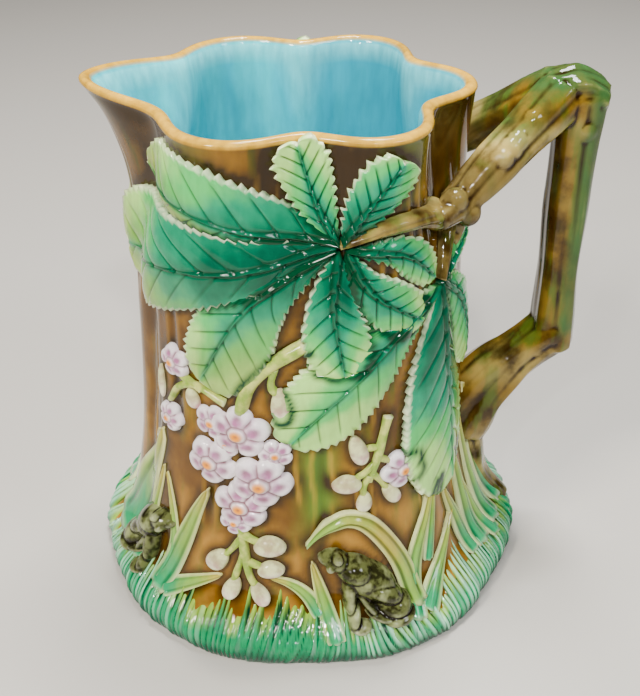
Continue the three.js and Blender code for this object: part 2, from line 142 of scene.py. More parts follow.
# Trunk. One slip-cast earthenware shell, about 5 mm thick: a stump with six lobes that deepen to
# the rim, a spout drawn out on one side, a flat floor inside and a foot ring round a shallow
# recess. Its glaze is ochre-brown bark outside, yellow on the lip and turquoise inside.
# Lengths on the pitcher are in millimetres, and angles in degrees round from the handle.
MM = 0.001
SPOUT_LIFT = 3.7
RIM = high.z / MM - SPOUT_LIFT
TRUNK_RADIUS = 60.5
ROOT_SPREAD = 23.5
ROOT_HEIGHT = 40.0
FOOT_BULGE = 7.0
BULGE_HEIGHT = 8.0
RIM_FLARE = 3.5
RIM_FLARE_DROP = 35.0
LOBE_START = 120.0
WALL = 5.0
SPOUT_DROP = 45.0
SPOUT_REACH = 10.5
FLOOR = 9.0
FOOT_WALL = 20.0
FOOT_RECESS = 3.5
FOOT_RING_INSIDE = 70.0
LIP_ROUND = 2.6
# angle at the rim and lower down, depth at both, width at both, on each side of the handle
VALLEYS = (
    ((30, 30), (12.5, 1.8), (17, 14)),
    ((90, 90), (13, 2.5), (17, 12)),
    ((150, 161), (10, 5), (17, 8)),
)
FOOT_VALLEY = 3, 15    # depth and width of each valley at the foot


def held(x):
    """x, held in 0 to 1."""
    return np.clip(x, 0, 1)


def ease(x, start, end):
    """0 below start, 1 above end, and smooth between."""
    t = held((x - start) / (end - start))
    return t * t * (3 - 2 * t)


def mix(a, b, t):
    """From a to b as t goes from 0 to 1."""
    return a + (b - a) * t


def bell(x, width):
    """1 where x is 0, falling away on both sides over this width."""
    return np.exp(-(x / width) ** 2)


def turn(angle, other):
    """How far one angle lies from another, either way round."""
    return np.abs(np.arctan2(np.sin(angle - other), np.cos(angle - other)))


def plain_radius(up):
    """The radius of the trunk at a height, as if it were round."""
    roots = ROOT_SPREAD * np.exp(-up / ROOT_HEIGHT)
    bulge = FOOT_BULGE * bell(up - BULGE_HEIGHT, BULGE_HEIGHT)
    flare = RIM_FLARE * (np.clip(up - RIM + RIM_FLARE_DROP, 0, None) / RIM_FLARE_DROP) ** 2
    return TRUNK_RADIUS + roots + bulge + flare


def bark_radius(angle, up):
    """The radius with its lobes, valleys and spout."""
    rimward = ease(up, LOBE_START, RIM)
    foot = 1 - ease(up, BULGE_HEIGHT, SPOUT_DROP)
    radius = plain_radius(up)
    for at, depth, width in VALLEYS:
        middle = np.radians(mix(at[1], at[0], rimward))
        deep = mix(mix(depth[1], depth[0], rimward ** 1.3), FOOT_VALLEY[0], foot)
        wide = np.radians(mix(mix(width[1], width[0], rimward), FOOT_VALLEY[1], foot))
        for side in (1, -1):
            radius = radius - deep * bell(turn(angle, side * middle), wide)
    away = turn(angle, math.pi)
    drawn = np.clip((up - RIM + SPOUT_DROP) / SPOUT_DROP, 0, 1.1) ** 2
    spout = np.exp(-(away / 0.3) ** 1.5) + 0.14 * np.exp(-(away / 0.75) ** 4)
    flatter_by_handle = 3 * held(np.cos(angle)) ** 2
    fuller_by_spout = 1.5 * held(-np.cos(angle)) ** 2
    above_roots = held(up / ROOT_HEIGHT)
    return radius + drawn * SPOUT_REACH * spout - above_roots * (flatter_by_handle - fuller_by_spout)


def spout_lift(angle, up):
    """How far the spout stands above the rest of the rim."""
    drawn = held((up - RIM + SPOUT_DROP) / SPOUT_DROP)
    return SPOUT_LIFT * drawn * bell(turn(angle, math.pi), 0.5)


def around_axis(angle, radius, up):
    """Points in metres, from an angle round the trunk's axis and millimetres out from it and up."""
    return np.stack([AXIS_X + MM * radius * np.cos(angle), MM * radius * np.sin(angle), MM * up], axis=-1)


def on_bark(degrees, up, out):
    """Points on the pitcher, in metres: degrees round from the handle, millimetres up, and out."""
    angle = np.radians(degrees)
    return around_axis(angle, bark_radius(angle, up) + out, up + spout_lift(angle, up))


def corners_of(mesh):
    """A mesh's corners as an array of three columns."""
    corners = np.empty(3 * len(mesh.vertices))
    mesh.vertices.foreach_get("co", corners)
    return corners.reshape(-1, 3)


def turned(name, columns, rows):
    """A sheet wrapped once round the trunk: its mesh, the angle and row of each corner, and both
    columns of a table of rows as they read there."""
    made = bmesh.new()
    bmesh.ops.create_grid(made, x_segments=columns, y_segments=len(rows) - 1, size=1)
    mesh = bpy.data.meshes.new(name)
    made.to_mesh(mesh)
    made.free()
    flat = corners_of(mesh)
    row = (flat[:, 1] + 1) / 2 * (len(rows) - 1)
    first, second = (np.interp(row, np.arange(len(rows)), column) for column in rows.T)
    return mesh, math.pi * flat[:, 0], row, first, second


def move_corners(mesh, corners, weld=False):
    """Moves a mesh's corners, joins those that meet at a seam, and turns its faces outwards."""
    mesh.vertices.foreach_set("co", corners.ravel())
    made = bmesh.new()
    made.from_mesh(mesh)
    if weld:
        bmesh.ops.remove_doubles(made, verts=made.verts, dist=1e-6)
    bmesh.ops.recalc_face_normals(made, faces=made.faces)
    for face in made.faces:
        face.smooth = True
    made.to_mesh(mesh)
    made.free()
    mesh.update()


def mask(mesh, **masks):
    """Keeps numbers for each corner of a mesh under their names, for its material to read."""
    for name, values in masks.items():
        layer = mesh.attributes.get(name) or mesh.attributes.new(name, "FLOAT", "POINT")
        layer.data.foreach_set("value", np.ascontiguousarray(values, dtype=np.float32))


def mask_of(mesh, name):
    values = np.empty(len(mesh.vertices), dtype=np.float32)
    mesh.attributes[name].data.foreach_get("value", values)
    return values


def hollows(mesh, rounds=2):
    """How far each corner lies below its neighbours, in millimetres: + in hollows, - on ridges."""
    corners = corners_of(mesh) / MM
    normals = np.empty(3 * len(mesh.vertices))
    mesh.vertices.foreach_get("normal", normals)
    normals = normals.reshape(-1, 3)
    ends = np.empty(2 * len(mesh.edges), dtype=np.int32)
    mesh.edges.foreach_get("vertices", ends)
    a, b = ends.reshape(-1, 2).T
    step = corners[b] - corners[a]
    count = np.bincount(a, minlength=len(corners)) + np.bincount(b, minlength=len(corners)) + 1e-9
    depth = np.bincount(a, (step * normals[a]).sum(1), len(corners))
    depth = (depth + np.bincount(b, -(step * normals[b]).sum(1), len(corners))) / count
    for _ in range(rounds):
        around = np.bincount(a, depth[b], len(corners)) + np.bincount(b, depth[a], len(corners))
        depth = 0.5 * depth + 0.5 * around / count
    return depth


def link(name, mesh, finish):
    """Puts a finished mesh in the scene, as a piece that rides on the pitcher."""
    mesh.materials.append(finish)
    piece = show(name, mesh)
    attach(piece, "root")
    return piece


TRUNK_COLUMNS = 420
outer_up = np.linspace(1.4, RIM - LIP_ROUND, 150)
lip_turn = np.linspace(0, math.pi, 11)[1:-1]
inner_up = np.linspace(RIM - LIP_ROUND, 44, 44)
lip_middle = plain_radius(RIM) - WALL / 2
profile = np.array(
    [(0, FOOT_RECESS), (35, FOOT_RECESS), (FOOT_RING_INSIDE - 1.5, FOOT_RECESS)]
    + [(FOOT_RING_INSIDE - 0.3, 2.6), (FOOT_RING_INSIDE, 0.5), (FOOT_RING_INSIDE + 0.5, 0)]
    + [(plain_radius(0) - 4, 0), (plain_radius(0) - 1.6, 0), (plain_radius(0) - 0.5, 0.5)]
    + [(plain_radius(up), up) for up in outer_up]
    + [(lip_middle + LIP_ROUND * math.cos(a), RIM - LIP_ROUND + LIP_ROUND * math.sin(a)) for a in lip_turn]
    + [(plain_radius(up) - WALL, up) for up in inner_up]
    + [(60.2, 36), (59.6, 28), (59, 20), (58.2, 15.5), (56.4, 12), (53.5, 9.8)]
    + [(49, FLOOR), (30, FLOOR), (0, FLOOR)]
)
FIRST_BARK_ROW = 9
LAST_BARK_ROW = FIRST_BARK_ROW + len(outer_up)
LAST_LIP_ROW = LAST_BARK_ROW + len(lip_turn)

trunk_mesh, angle, row, nominal, up = turned("trunk", TRUNK_COLUMNS, profile)
share = ease(nominal, 0, plain_radius(up) - FOOT_WALL)
radius = nominal + (bark_radius(angle, up) - plain_radius(up)) * share
on_outside = (row >= FIRST_BARK_ROW - 0.5) & (row < LAST_BARK_ROW)
bark_share = on_outside * ease(up, 12, 26) * (1 - ease(up, RIM - 9, RIM - 3))

# Grooves in the bark: angle, lower and upper end, depth and half width. The first few are the
# ones that show between the leaves; the others are spread evenly with a little wander.
GROOVES = [
    (-86, 58, 94, 1.3, 1.6), (-157.5, 30, 120, 1.8, 1.6), (-93, 52, 84, 0.9, 1.4), (-24, 30, 92, 1.2, 1.8),
    (-12, 34, 70, 1.0, 1.8), (-70, 84, 118, 0.8, 1.3), (-48, 40, 90, 0.8, 1.5), (-104, 150, 192, 0.8, 1.6),
]
SPREAD_GROOVES = 44
wander = np.random.default_rng(7)
for number in range(SPREAD_GROOVES):
    start = wander.uniform(15, 130)
    GROOVES.append((
        -180 + 360 * (number + wander.uniform(-0.3, 0.3)) / SPREAD_GROOVES, start,
        start + wander.uniform(35, 80), wander.uniform(0.35, 0.8), wander.uniform(1.0, 2.0),
    ))
degrees = np.degrees(angle)
swing = 1.6 * np.sin(up / 19 + 3 * angle) + 0.7 * np.sin(up / 7 - 2 * angle)
carve = 0.35 * np.sin(5 * angle + up / 23) + 0.25 * np.sin(13 * angle - up / 31)
groove_depth = np.zeros(len(degrees))
for at, bottom, top, depth, half in GROOVES:
    gap = (degrees + swing - at + 180) % 360 - 180
    reach = ease(up, bottom, bottom + 14) * (1 - ease(up, top - 14, top))
    cut = depth * bell(gap, half) * reach
    groove_depth += cut
    carve = carve - cut + 0.3 * depth * bell(np.abs(gap) - 2.2 * half, half) * reach
radius = radius + carve * bark_share
inside = ease(row, LAST_LIP_ROW - 2.5, LAST_LIP_ROW - 0.8)
mask(
    trunk_mesh, lip=ease(row, LAST_BARK_ROW - 1, LAST_BARK_ROW + 0.6) * (1 - inside), inside=inside,
    under=row < FIRST_BARK_ROW - 1, up=up, round=degrees, groove=groove_depth * bark_share,
)
move_corners(trunk_mesh, around_axis(angle, radius, up + spout_lift(angle, up) * share), weld=True)


def glaze_group():
    """Majolica glaze: it runs thin and pale off the edges, pools dark in hollows, and wavers. Its pooling
    input also carries painted shade.
    """
    group = bpy.data.node_groups.new("majolica_glaze", "ShaderNodeTree")
    add = group.interface.new_socket
    for name in ("Colour", "Pooled And Shaded Colour", "Thin Colour"):
        add(name, in_out="INPUT", socket_type="NodeSocketColor")
    for name in ("Pool", "Thin"):
        add(name, in_out="INPUT", socket_type="NodeSocketFloat")
    for name, kind in (("Colour", "Color"), ("Roughness", "Float"), ("Normal", "Vector")):
        add(name, in_out="OUTPUT", socket_type="NodeSocket" + kind)
    ends = group.nodes.new("NodeGroupInput"), group.nodes.new("NodeGroupOutput")
    coordinates = group.nodes.new("ShaderNodeTexCoord").outputs["Object"]
    cloud = noise(group, coordinates, 70, 4)
    run = noise(group, stretched(group, coordinates, (1, 1, 0.22)), 330, 3)
    fed = ends[0].outputs
    pool = broken(group, fed["Pool"], cloud, 0.9, 0.6)
    thin = broken(group, fed["Thin"], run, 1.2, 0.4)
    colour = blend(group, pool, fed["Colour"], fed["Pooled And Shaded Colour"])
    colour = blend(group, thin, colour, fed["Thin Colour"])
    tone = maths(group, "MULTIPLY_ADD", run, 0.5, 0.77)
    colour = blend(group, 1.0, colour, tone, "MULTIPLY")
    roughness = maths(group, "MULTIPLY_ADD", cloud, 0.07, 0.03)
    ripple = noise(group, coordinates, 420, 2)
    pits = noise(group, coordinates, 1900, 1)
    pitted = maths(group, "GREATER_THAN", pits, 0.74)
    height = maths(group, "MULTIPLY_ADD", pitted, -0.35, ripple)
    bump = group.nodes.new("ShaderNodeBump")
    bump.inputs["Strength"].default_value = 0.08
    bump.inputs["Distance"].default_value = 0.00035
    group.links.new(height, bump.inputs["Height"])
    for socket, value in zip(ends[1].inputs, (colour, roughness, bump.outputs["Normal"])):
        group.links.new(value, socket)
    return group


def noise(tree, vector, scale, detail):
    node = tree.nodes.new("ShaderNodeTexNoise")
    node.inputs["Scale"].default_value = scale
    node.inputs["Detail"].default_value = detail
    tree.links.new(vector, node.inputs["Vector"])
    return node.outputs["Fac"]


def stretched(tree, vector, scale):
    node = tree.nodes.new("ShaderNodeMapping")
    node.inputs["Scale"].default_value = scale
    tree.links.new(vector, node.inputs["Vector"])
    return node.outputs["Vector"]


def feed(tree, socket, value):
    """Links a socket to another one, or sets its own value. A colour is six hexadecimal digits."""
    if hasattr(value, "is_linked"):
        tree.links.new(value, socket)
    else:
        socket.default_value = paint(value) if isinstance(value, str) else value


def maths(tree, operation, first, second, third=0.0):
    """One step of arithmetic. third is the number to add, or True to keep the result in 0 to 1."""
    node = tree.nodes.new("ShaderNodeMath")
    node.operation = operation
    feed(tree, node.inputs[0], first)
    feed(tree, node.inputs[1], second)
    if third is True:
        node.use_clamp = True
    else:
        feed(tree, node.inputs[2], third)
    return node.outputs[0]


def blend(tree, factor, first, second, how="MIX"):
    node = tree.nodes.new("ShaderNodeMix")
    node.data_type = "RGBA"
    node.blend_type = how
    feed(tree, node.inputs["Factor"], factor)
    feed(tree, node.inputs[6], first)
    feed(tree, node.inputs[7], second)
    return node.outputs[2]


def span(tree, value, start, end):
    """0 below start, 1 above end, and smooth between."""
    node = tree.nodes.new("ShaderNodeMapRange")
    node.interpolation_type = "SMOOTHSTEP"
    feed(tree, node.inputs["Value"], value)
    node.inputs["From Min"].default_value = start
    node.inputs["From Max"].default_value = end
    return node.outputs["Result"]


def ramp(tree, value, start, end, first, second):
    """Goes from one colour to another as a value rises from start to end."""
    return blend(tree, span(tree, value, start, end), first, second)


def broken(tree, value, by, gain, base):
    """A mask made weaker and stronger by noise."""
    return maths(tree, "MULTIPLY", value, maths(tree, "MULTIPLY_ADD", by, gain, base), True)


def shifted(tree, value, by, gain):
    """A value in 0 to 1, moved up and down by noise."""
    return maths(tree, "ADD", value, maths(tree, "MULTIPLY_ADD", by, gain, -gain / 2), True)


def reads(tree, name):
    node = tree.nodes.new("ShaderNodeAttribute")
    node.attribute_name = name
    return node.outputs["Fac"]


def glazed(name, colour, pooled, thin):
    """A glazed finish. Each colour is a code, or a function that builds it in the material's tree."""
    finish = bpy.data.materials.new(name)
    finish.use_nodes = True
    tree = finish.node_tree
    shader = tree.nodes["Principled BSDF"]
    group = tree.nodes.new("ShaderNodeGroup")
    group.node_tree = GLAZE
    for socket, value in (("Colour", colour), ("Pooled And Shaded Colour", pooled), ("Thin Colour", thin)):
        feed(tree, group.inputs[socket], value(tree) if callable(value) else value)
    feed(tree, group.inputs["Pool"], reads(tree, "pool"))
    feed(tree, group.inputs["Thin"], reads(tree, "thin"))
    for socket, value in (
        ("Base Color", group.outputs["Colour"]), ("Roughness", group.outputs["Roughness"]),
        ("Normal", group.outputs["Normal"]), ("Specular IOR Level", 0.2),
        ("Coat Weight", 0.16), ("Coat Roughness", 0.03),
    ):
        feed(tree, shader.inputs[socket], value)
    return finish


GLAZE = glaze_group()


def objects_at(tree):
    return tree.nodes.new("ShaderNodeTexCoord").outputs["Object"]


def trunk_colour(tree):
    """Ochre to amber bark with olive streaks, yellow on the lip, turquoise inside."""
    at = objects_at(tree)
    patch = noise(tree, at, 38, 4)
    streak = noise(tree, stretched(tree, at, (1, 1, 0.16)), 130, 4)
    bark = ramp(tree, patch, 0.35, 0.68, "64410a", "a87618")
    olive = maths(tree, "MULTIPLY", span(tree, streak, 0.5, 0.68), span(tree, patch, 0.3, 0.6))
    bark = blend(tree, maths(tree, "MULTIPLY", olive, 0.95), bark, "55650c")
    bark = blend(tree, reads(tree, "moss"), bark, "5c8420")
    low_patch = maths(tree, "MULTIPLY", reads(tree, "low"), span(tree, patch, 0.3, 0.6))
    bark = blend(tree, low_patch, bark, "c4903c")
    under = ramp(tree, patch, 0.4, 0.6, "8a7a4a", "5c4a28")
    bark = blend(tree, reads(tree, "under"), bark, under)
    lip = ramp(tree, patch, 0.3, 0.7, "b88000", "8a5e00")
    pot = ramp(tree, streak, 0.3, 0.7, "34f2f6", "06d6e4")
    # painted shade: the turquoise inside is darkened towards the handle side, where that wall lies in shadow
    pot = blend(tree, reads(tree, "deep_blue"), pot, "049cb6")
    colour = blend(tree, reads(tree, "lip"), bark, lip)
    return blend(tree, reads(tree, "inside"), colour, pot)


# the dark colour where the glaze pools, also used for painted shade under the lip and by the spout
def trunk_pooled_and_shaded(tree):
    dark = blend(tree, reads(tree, "lip"), "2c1c04", "6a4a06")
    return blend(tree, reads(tree, "inside"), dark, "007086")


def trunk_thin(tree):
    pale = blend(tree, reads(tree, "lip"), "c8962a", "f6c64a")
    return blend(tree, reads(tree, "inside"), pale, "94f4f2")


trunk = link("trunk", trunk_mesh, glazed("trunk_glaze", trunk_colour, trunk_pooled_and_shaded, trunk_thin))
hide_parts("pitcher")


# Leaves. Two horse chestnut leaves on each side, pressed from a mould and luted on: leaflets with
# a raised rib, side veins cut as grooves, quilted between them and toothed along the edge. The
# glaze is emerald near the ribs, yellow-green to mint outwards, and thin and cream on the teeth.
SUNK = 1.6
LEAF_EDGE = 1.9
LEAF_CROWN = 1.9
VEIN_PITCH = 26
TOOTH_PITCH = 3.1
LEAF_COLUMNS, LEAF_ROWS = 36, 128
# the rib's path, half widths left and right of it, where it is broadest, lift over its
# neighbours, paleness at root and tip, and how olive it is
UPPER_LEAF = [
    (((-80, 160.5), (-105, 166), (-130, 172), (-153, 176)), 6, 15, 0.46, 0, 0.25, 0.85, 0.8),
    (((-80, 160.5), (-87, 175), (-92.5, 192.5)), 8.5, 8, 0.55, 0.3, 0.4, 0.95, 0.1),
    (((-79, 160.5), (-73, 172), (-62.5, 187)), 7, 8.5, 0.55, 0.3, 0.15, 0.6, 0),
    (((-78, 159), (-61, 156), (-46, 142)), 6, 5, 0.55, 0.2, 0.3, 0.7, 0),
    (((-81, 159), (-100, 148), (-111, 136), (-124.5, 109)), 14.5, 11, 0.56, 0.3, 0.15, 0.9, 0.5),
    (((-80, 159), (-82.5, 140), (-79.5, 115.6)), 9, 9.5, 0.54, 1.3, 0.12, 0.85, 0),
    (((-78, 159), (-71, 145), (-53, 129)), 7.5, 8, 0.52, 0.9, 0.25, 0.8, 0),
    (((-81, 160), (-106, 154.5), (-137, 148.5), (-167, 142)), 16.5, 20, 0.6, 1.7, 0.0, 0.75, 0.6),
]
LOWER_LEAF = [
    (((-38, 136.5), (-24, 122), (-9, 90)), 11, 10, 0.46, 0, 0.5, 0.9, 0),
    (((-39, 136.5), (-28, 142), (-11, 151)), 6, 7, 0.46, 0, 0.6, 0.95, 0),
    (((-41, 136.5), (-60, 128.5), (-76, 112), (-96, 88)), 13, 14, 0.52, 0, 0.45, 1.0, 0.1),
    (((-40, 137.5), (-39.5, 107), (-36, 82), (-35, 52)), 12, 22, 0.46, 1.2, 0.1, 1.15, 0),
]


def follow(path, distance):
    """Points and forward directions along a smooth path, at distances from its start."""
    path = np.array(path, dtype=float)
    ends = np.vstack([2 * path[0] - path[1], path, 2 * path[-1] - path[-2]])
    t = np.linspace(0, len(path) - 1, 240)
    i = np.minimum(t.astype(int), len(path) - 2)
    f = (t - i)[:, None]
    p0, p1, p2, p3 = ends[i], ends[i + 1], ends[i + 2], ends[i + 3]
    points = 0.5 * (2 * p1 + (p2 - p0) * f + (2 * p0 - 5 * p1 + 4 * p2 - p3) * f ** 2
                    + (3 * p1 - p0 - 3 * p2 + p3) * f ** 3)
    run = np.concatenate([[0], np.cumsum(np.linalg.norm(np.diff(points, axis=0), axis=1))])
    ahead = np.gradient(points, run, axis=0)
    ahead /= np.linalg.norm(ahead, axis=1)[:, None]
    at = np.stack([np.interp(distance, run, points[:, k]) for k in range(path.shape[1])], axis=-1)
    way = np.stack([np.interp(distance, run, ahead[:, k]) for k in range(path.shape[1])], axis=-1)
    beyond = np.clip(distance - run[-1], 0, None)[:, None]
    return at + way * beyond, way


def length_of(path):
    return np.linalg.norm(np.diff(np.array(path, dtype=float), axis=0), axis=1).sum() * 1.01


def parts_of(name, made):
    """The mesh of some separate forms, the number of the form at each corner, and the corners."""
    mesh = bpy.data.meshes.new(name)
    made.to_mesh(mesh)
    made.free()
    which = np.empty(len(mesh.vertices), dtype=np.int32)
    mesh.attributes["which"].data.foreach_get("value", which)
    return mesh, which, corners_of(mesh)


def slabs(name, count, columns, rows):
    """Separate closed slabs in one mesh: across in -1 to 1, along in 0 to 1, top and underside."""
    made = bmesh.new()
    which = made.verts.layers.int.new("which")
    for number in range(count):
        corners_before, faces_before = len(made.verts), len(made.faces)
        bmesh.ops.create_grid(made, x_segments=columns, y_segments=rows, size=1)
        made.faces.ensure_lookup_table()
        bmesh.ops.solidify(made, geom=made.faces[faces_before:], thickness=0.1)
        made.verts.ensure_lookup_table()
        for corner in made.verts[corners_before:]:
            corner[which] = number
    mesh, layer, flat = parts_of(name, made)
    middle = 0.5 * (flat[:, 2].min() + flat[:, 2].max())
    return mesh, layer, flat[:, 0], (flat[:, 1] + 1) / 2, flat[:, 2] > middle


OVER_ALL = 9.0         # lift of what lies over every leaf
outlines = []          # degrees, up and lift along every edge of the relief, for the glaze to pool at
where_sheet = {}       # for each mesh of relief, where its corners lie on the unrolled trunk


def beside(path, t, reach, ahead=0):
    """Places on the sheet at a share t of a path's length, reach millimetres to its right."""
    at, way = follow(path, t * length_of(path) + ahead)
    return at[:, 0] + way[:, 1] * reach, at[:, 1] - way[:, 0] * reach


def relief(name, made, side, form, items):
    """Lays closed forms on the bark: on the front, side -1, or mirrored on the back, side 1.
    form gives the degrees, height and stand-out of one item, its edge, its lift and its masks."""
    mesh, which, *sheet = made
    where = np.zeros((len(which), 3))
    masks = {}
    where_sheet[name] = []
    for number, item in enumerate(items):
        own = which == number
        degrees, up, out, edge, lift, values_of = form(item, number, *(values[own] for values in sheet))
        degrees = -side * degrees
        where[own] = on_bark(degrees, up, out)
        where_sheet[name].append((own, degrees, up))
        outlines.append(np.stack([degrees[edge], up[edge], np.full(edge.sum(), lift)], axis=-1))
        for key, values in values_of.items():
            masks.setdefault(key, np.zeros(len(which)))[own] = values
    mask(mesh, **masks)
    move_corners(mesh, where)
    return mesh


def both_sides(finish, *kinds):
    """Lays kinds of relief on the front and, mirrored, on the back. Of each it takes the label, the
    form, what lies on the front and what on the back, and how its mesh is made."""
    for side, ending in ((-1, "front"), (1, "back")):
        for label, form, front, back, maker, *divisions in kinds:
            name = f"{label}_{ending}"
            items = front if side < 0 else back
            link(name, relief(name, maker(name, len(items), *divisions), side, form, items), finish)


def leaf_form(leaflet, number, a, t, top):
    """Leaflets: teeth, veins that run forward from the rib, quilting, and where the glaze is pale."""
    path, left, right_half, widest, lift, root_pale, tip_pale, olive = leaflet
    length = length_of(path)
    edgeward = np.abs(a)
    limb = held(np.sin(np.pi * t ** (math.log(0.5) / math.log(widest)))) ** 0.72
    half = 0.5 + np.where(a < 0, left, right_half) * limb
    spread = np.sign(a) * edgeward ** 1.35
    ahead = np.abs(spread) * half
    tooth = ((t * length + ahead) / TOOTH_PITCH + 0.13 * number + 0.2 * np.sin(9 * t + a)) % 1
    point = np.where(tooth < 0.8, tooth / 0.8, (1 - tooth) / 0.2)
    tooth_size = (1.7 + 0.9 * np.sin(31 * t + number) * np.sin(12 * t)) * held(half / 4)
    reach = spread * half + np.sign(a) * ease(edgeward, 0.84, 1) * (point - 0.4) * tooth_size
    degrees, up = beside(path, t, reach, ahead)
    veins = round(5.5 + length / VEIN_PITCH)
    phase = (t * veins + np.where(a < 0, 0.45, 0)) % 1
    to_vein = np.minimum(phase, 1 - phase) * length / veins
    vein = bell(to_vein, 0.4) * (1 - ease(edgeward, 0.78, 0.95)) * ease(t, 0.04, 0.12)
    rib_side = (np.abs(reach) - mix(1.3, 0.35, ease(t, 0.1, 0.7))) / 0.42
    rib_groove = np.exp(-rib_side ** 2) * (1 - ease(t, 0.88, 0.97))
    quilt = 0.55 * (1 - (2 * phase - 1) ** 2) * (1 - a ** 2) * held(half / 8)
    crown = LEAF_CROWN * (1 - edgeward ** 2.2) * np.sin(np.pi * held(0.08 + 0.86 * t)) ** 0.6
    curl = 0.45 * ease(edgeward, 0.8, 1) * np.sin(7 * t + number)
    carved = 0.35 * bell(reach, 0.62) - 0.6 * vein - 0.6 * rib_groove
    out = LEAF_EDGE + lift * ease(t, 0, 0.3) + crown + quilt + curl + carved
    beside_rib = bell(reach, 3.2) * (1 - ease(t, 0.15, 0.7))
    pale = mix(root_pale, tip_pale, ease(t, 0.12, 0.85)) * mix(0.45, 1.15, ease(edgeward, 0.0, 0.9))
    over = lift + number * 0.01
    return degrees, up, np.where(top, out, -SUNK), top & ((edgeward > 0.999) | (t > 0.999)), over, {
        "vein": held(vein + 0.9 * rib_groove + 0.4 * beside_rib),
        "pale": held(pale + 0.12 * ease(edgeward, 0.6, 1)),
        "olive": olive * ease(t - 0.25 * a, 0.35, 0.85),
        "edge": ease(edgeward, 0.95, 1) * ease(half, 1.5, 4) * (0.3 + 0.5 * point) + 0.7 * ease(t, 0.98, 1),
        "lift": over,
    }


def leaf_colour(tree):
    at = objects_at(tree)
    waver = noise(tree, at, 85, 3)
    pale = shifted(tree, reads(tree, "pale"), waver, 0.5)
    colour = ramp(tree, pale, 0.0, 0.45, "00523a", "069468")
    colour = ramp(tree, pale, 0.34, 0.62, colour, "4cc060")
    colour = ramp(tree, pale, 0.62, 0.95, colour, "aee678")
    olive = maths(tree, "MULTIPLY", reads(tree, "olive"), span(tree, pale, 0.15, 0.7))
    return blend(tree, olive, colour, "8a8c2c")


leaf_glaze = glazed("leaf_glaze", leaf_colour, "003a20", "eef2c6")
for side, ending, fineness in ((-1, "front", 1), (1, "back", 0.7)):
    for label, leaflets in (("upper_leaf", UPPER_LEAF), ("lower_leaf", LOWER_LEAF)):
        name = f"{label}_{ending}"
        sheet = slabs(name, len(leaflets), round(LEAF_COLUMNS * fineness), round(LEAF_ROWS * fineness))
        link(name, relief(name, sheet, side, leaf_form, leaflets), leaf_glaze)


# Blossom. A cluster of five-petalled flowers with smaller ones beside it, modelled solid and
# luted to the bark: cupped petals with thick white rims, mauve hollows and an orange-yellow eye.
# place, radius and height of each
BLOSSOM = [
    (-122, 91.5, 6.8, 2.8), (-101, 82.5, 5.8, 2.6), (-117, 84, 5, 2.4), (-114, 52, 5.4, 2.8),
    (-112.5, 90.5, 10.2, 4.2), (-122.5, 75, 9.2, 4.0), (-112, 59.8, 9.4, 4.2), (-105.5, 71, 10.2, 5.0),
    (-137.5, 110, 6.4, 3.0), (-140.6, 85, 5.8, 3.0), (-59.4, 70, 7.8, 3.4),
]


def balls(name, count, around, rings):
    """Separate closed balls in one mesh: which one, the angle round it, and the height in -1 to 1."""
    made = bmesh.new()
    which = made.verts.layers.int.new("which")
    for number in range(count):
        ball = bmesh.ops.create_uvsphere(made, u_segments=around, v_segments=rings, radius=1)
        for corner in ball["verts"]:
            corner[which] = number
    mesh, layer, flat = parts_of(name, made)
    return mesh, layer, np.arctan2(flat[:, 1], flat[:, 0]), np.clip(flat[:, 2], -1, 1)


def blossom_form(flower, number, a, z):
    """Flowers: five cupped petals with splits between them, round a raised eye."""
    at_degrees, at_up, size, tall = flower
    out_share = np.arccos(z) / (math.pi / 2)
    top = out_share <= 1.001
    share = np.where(top, out_share, 2 - out_share)
    petal_angle = (a - 0.7 * number + math.pi / 5) % (2 * math.pi / 5) - math.pi / 5
    outline = 0.74 + 0.26 * np.cos(petal_angle * 2.5) ** 0.75
    reach = size * share * mix(1, outline, ease(share, 0.2, 0.8)) / 0.97
    from_petal = np.hypot(share * np.cos(petal_angle) - 0.6, share * np.sin(petal_angle))
    to_split = (math.pi / 5 - np.abs(petal_angle)) * share
    split = bell(to_split, 0.075) * ease(share, 0.2, 0.45)
    eye = 1 - ease(share, 0.12, 0.25)
    dome = (1 - 0.45 * share ** 2) * held((1 - share) / 0.12) ** 0.5
    carved = 0.2 * bell(from_petal, 0.2) + 0.3 * split - 0.16 * eye * ease(share, 0.0, 0.12)
    out = tall * (dome - carved - 0.14 * bell(share - 0.3, 0.06))
    inner = bell(share - 0.5, 0.2) * bell(petal_angle, 0.45)
    degrees, up = at_degrees + reach * np.cos(a), at_up + reach * np.sin(a)
    return degrees, up, np.where(top, out, -SUNK), top & (share > 0.93), OVER_ALL, {
        "mauve": held(inner * 1.3 + 0.4 * split),
        "gold": eye,
    }


def blossom_colour(tree):
    at = objects_at(tree)
    waver = noise(tree, at, 260, 3)
    white = ramp(tree, waver, 0.3, 0.7, "f6f0ee", "e6d8de")
    mauve = broken(tree, reads(tree, "mauve"), waver, 0.8, 0.5)
    colour = blend(tree, mauve, white, "ae6c94")
    return blend(tree, reads(tree, "gold"), colour, "f09200")


blossom_glaze = glazed("blossom_glaze", blossom_colour, "7a4f58", "fffcf6")
both_sides(blossom_glaze, ("blossom", blossom_form, BLOSSOM, BLOSSOM[:8], balls, 70, 26))


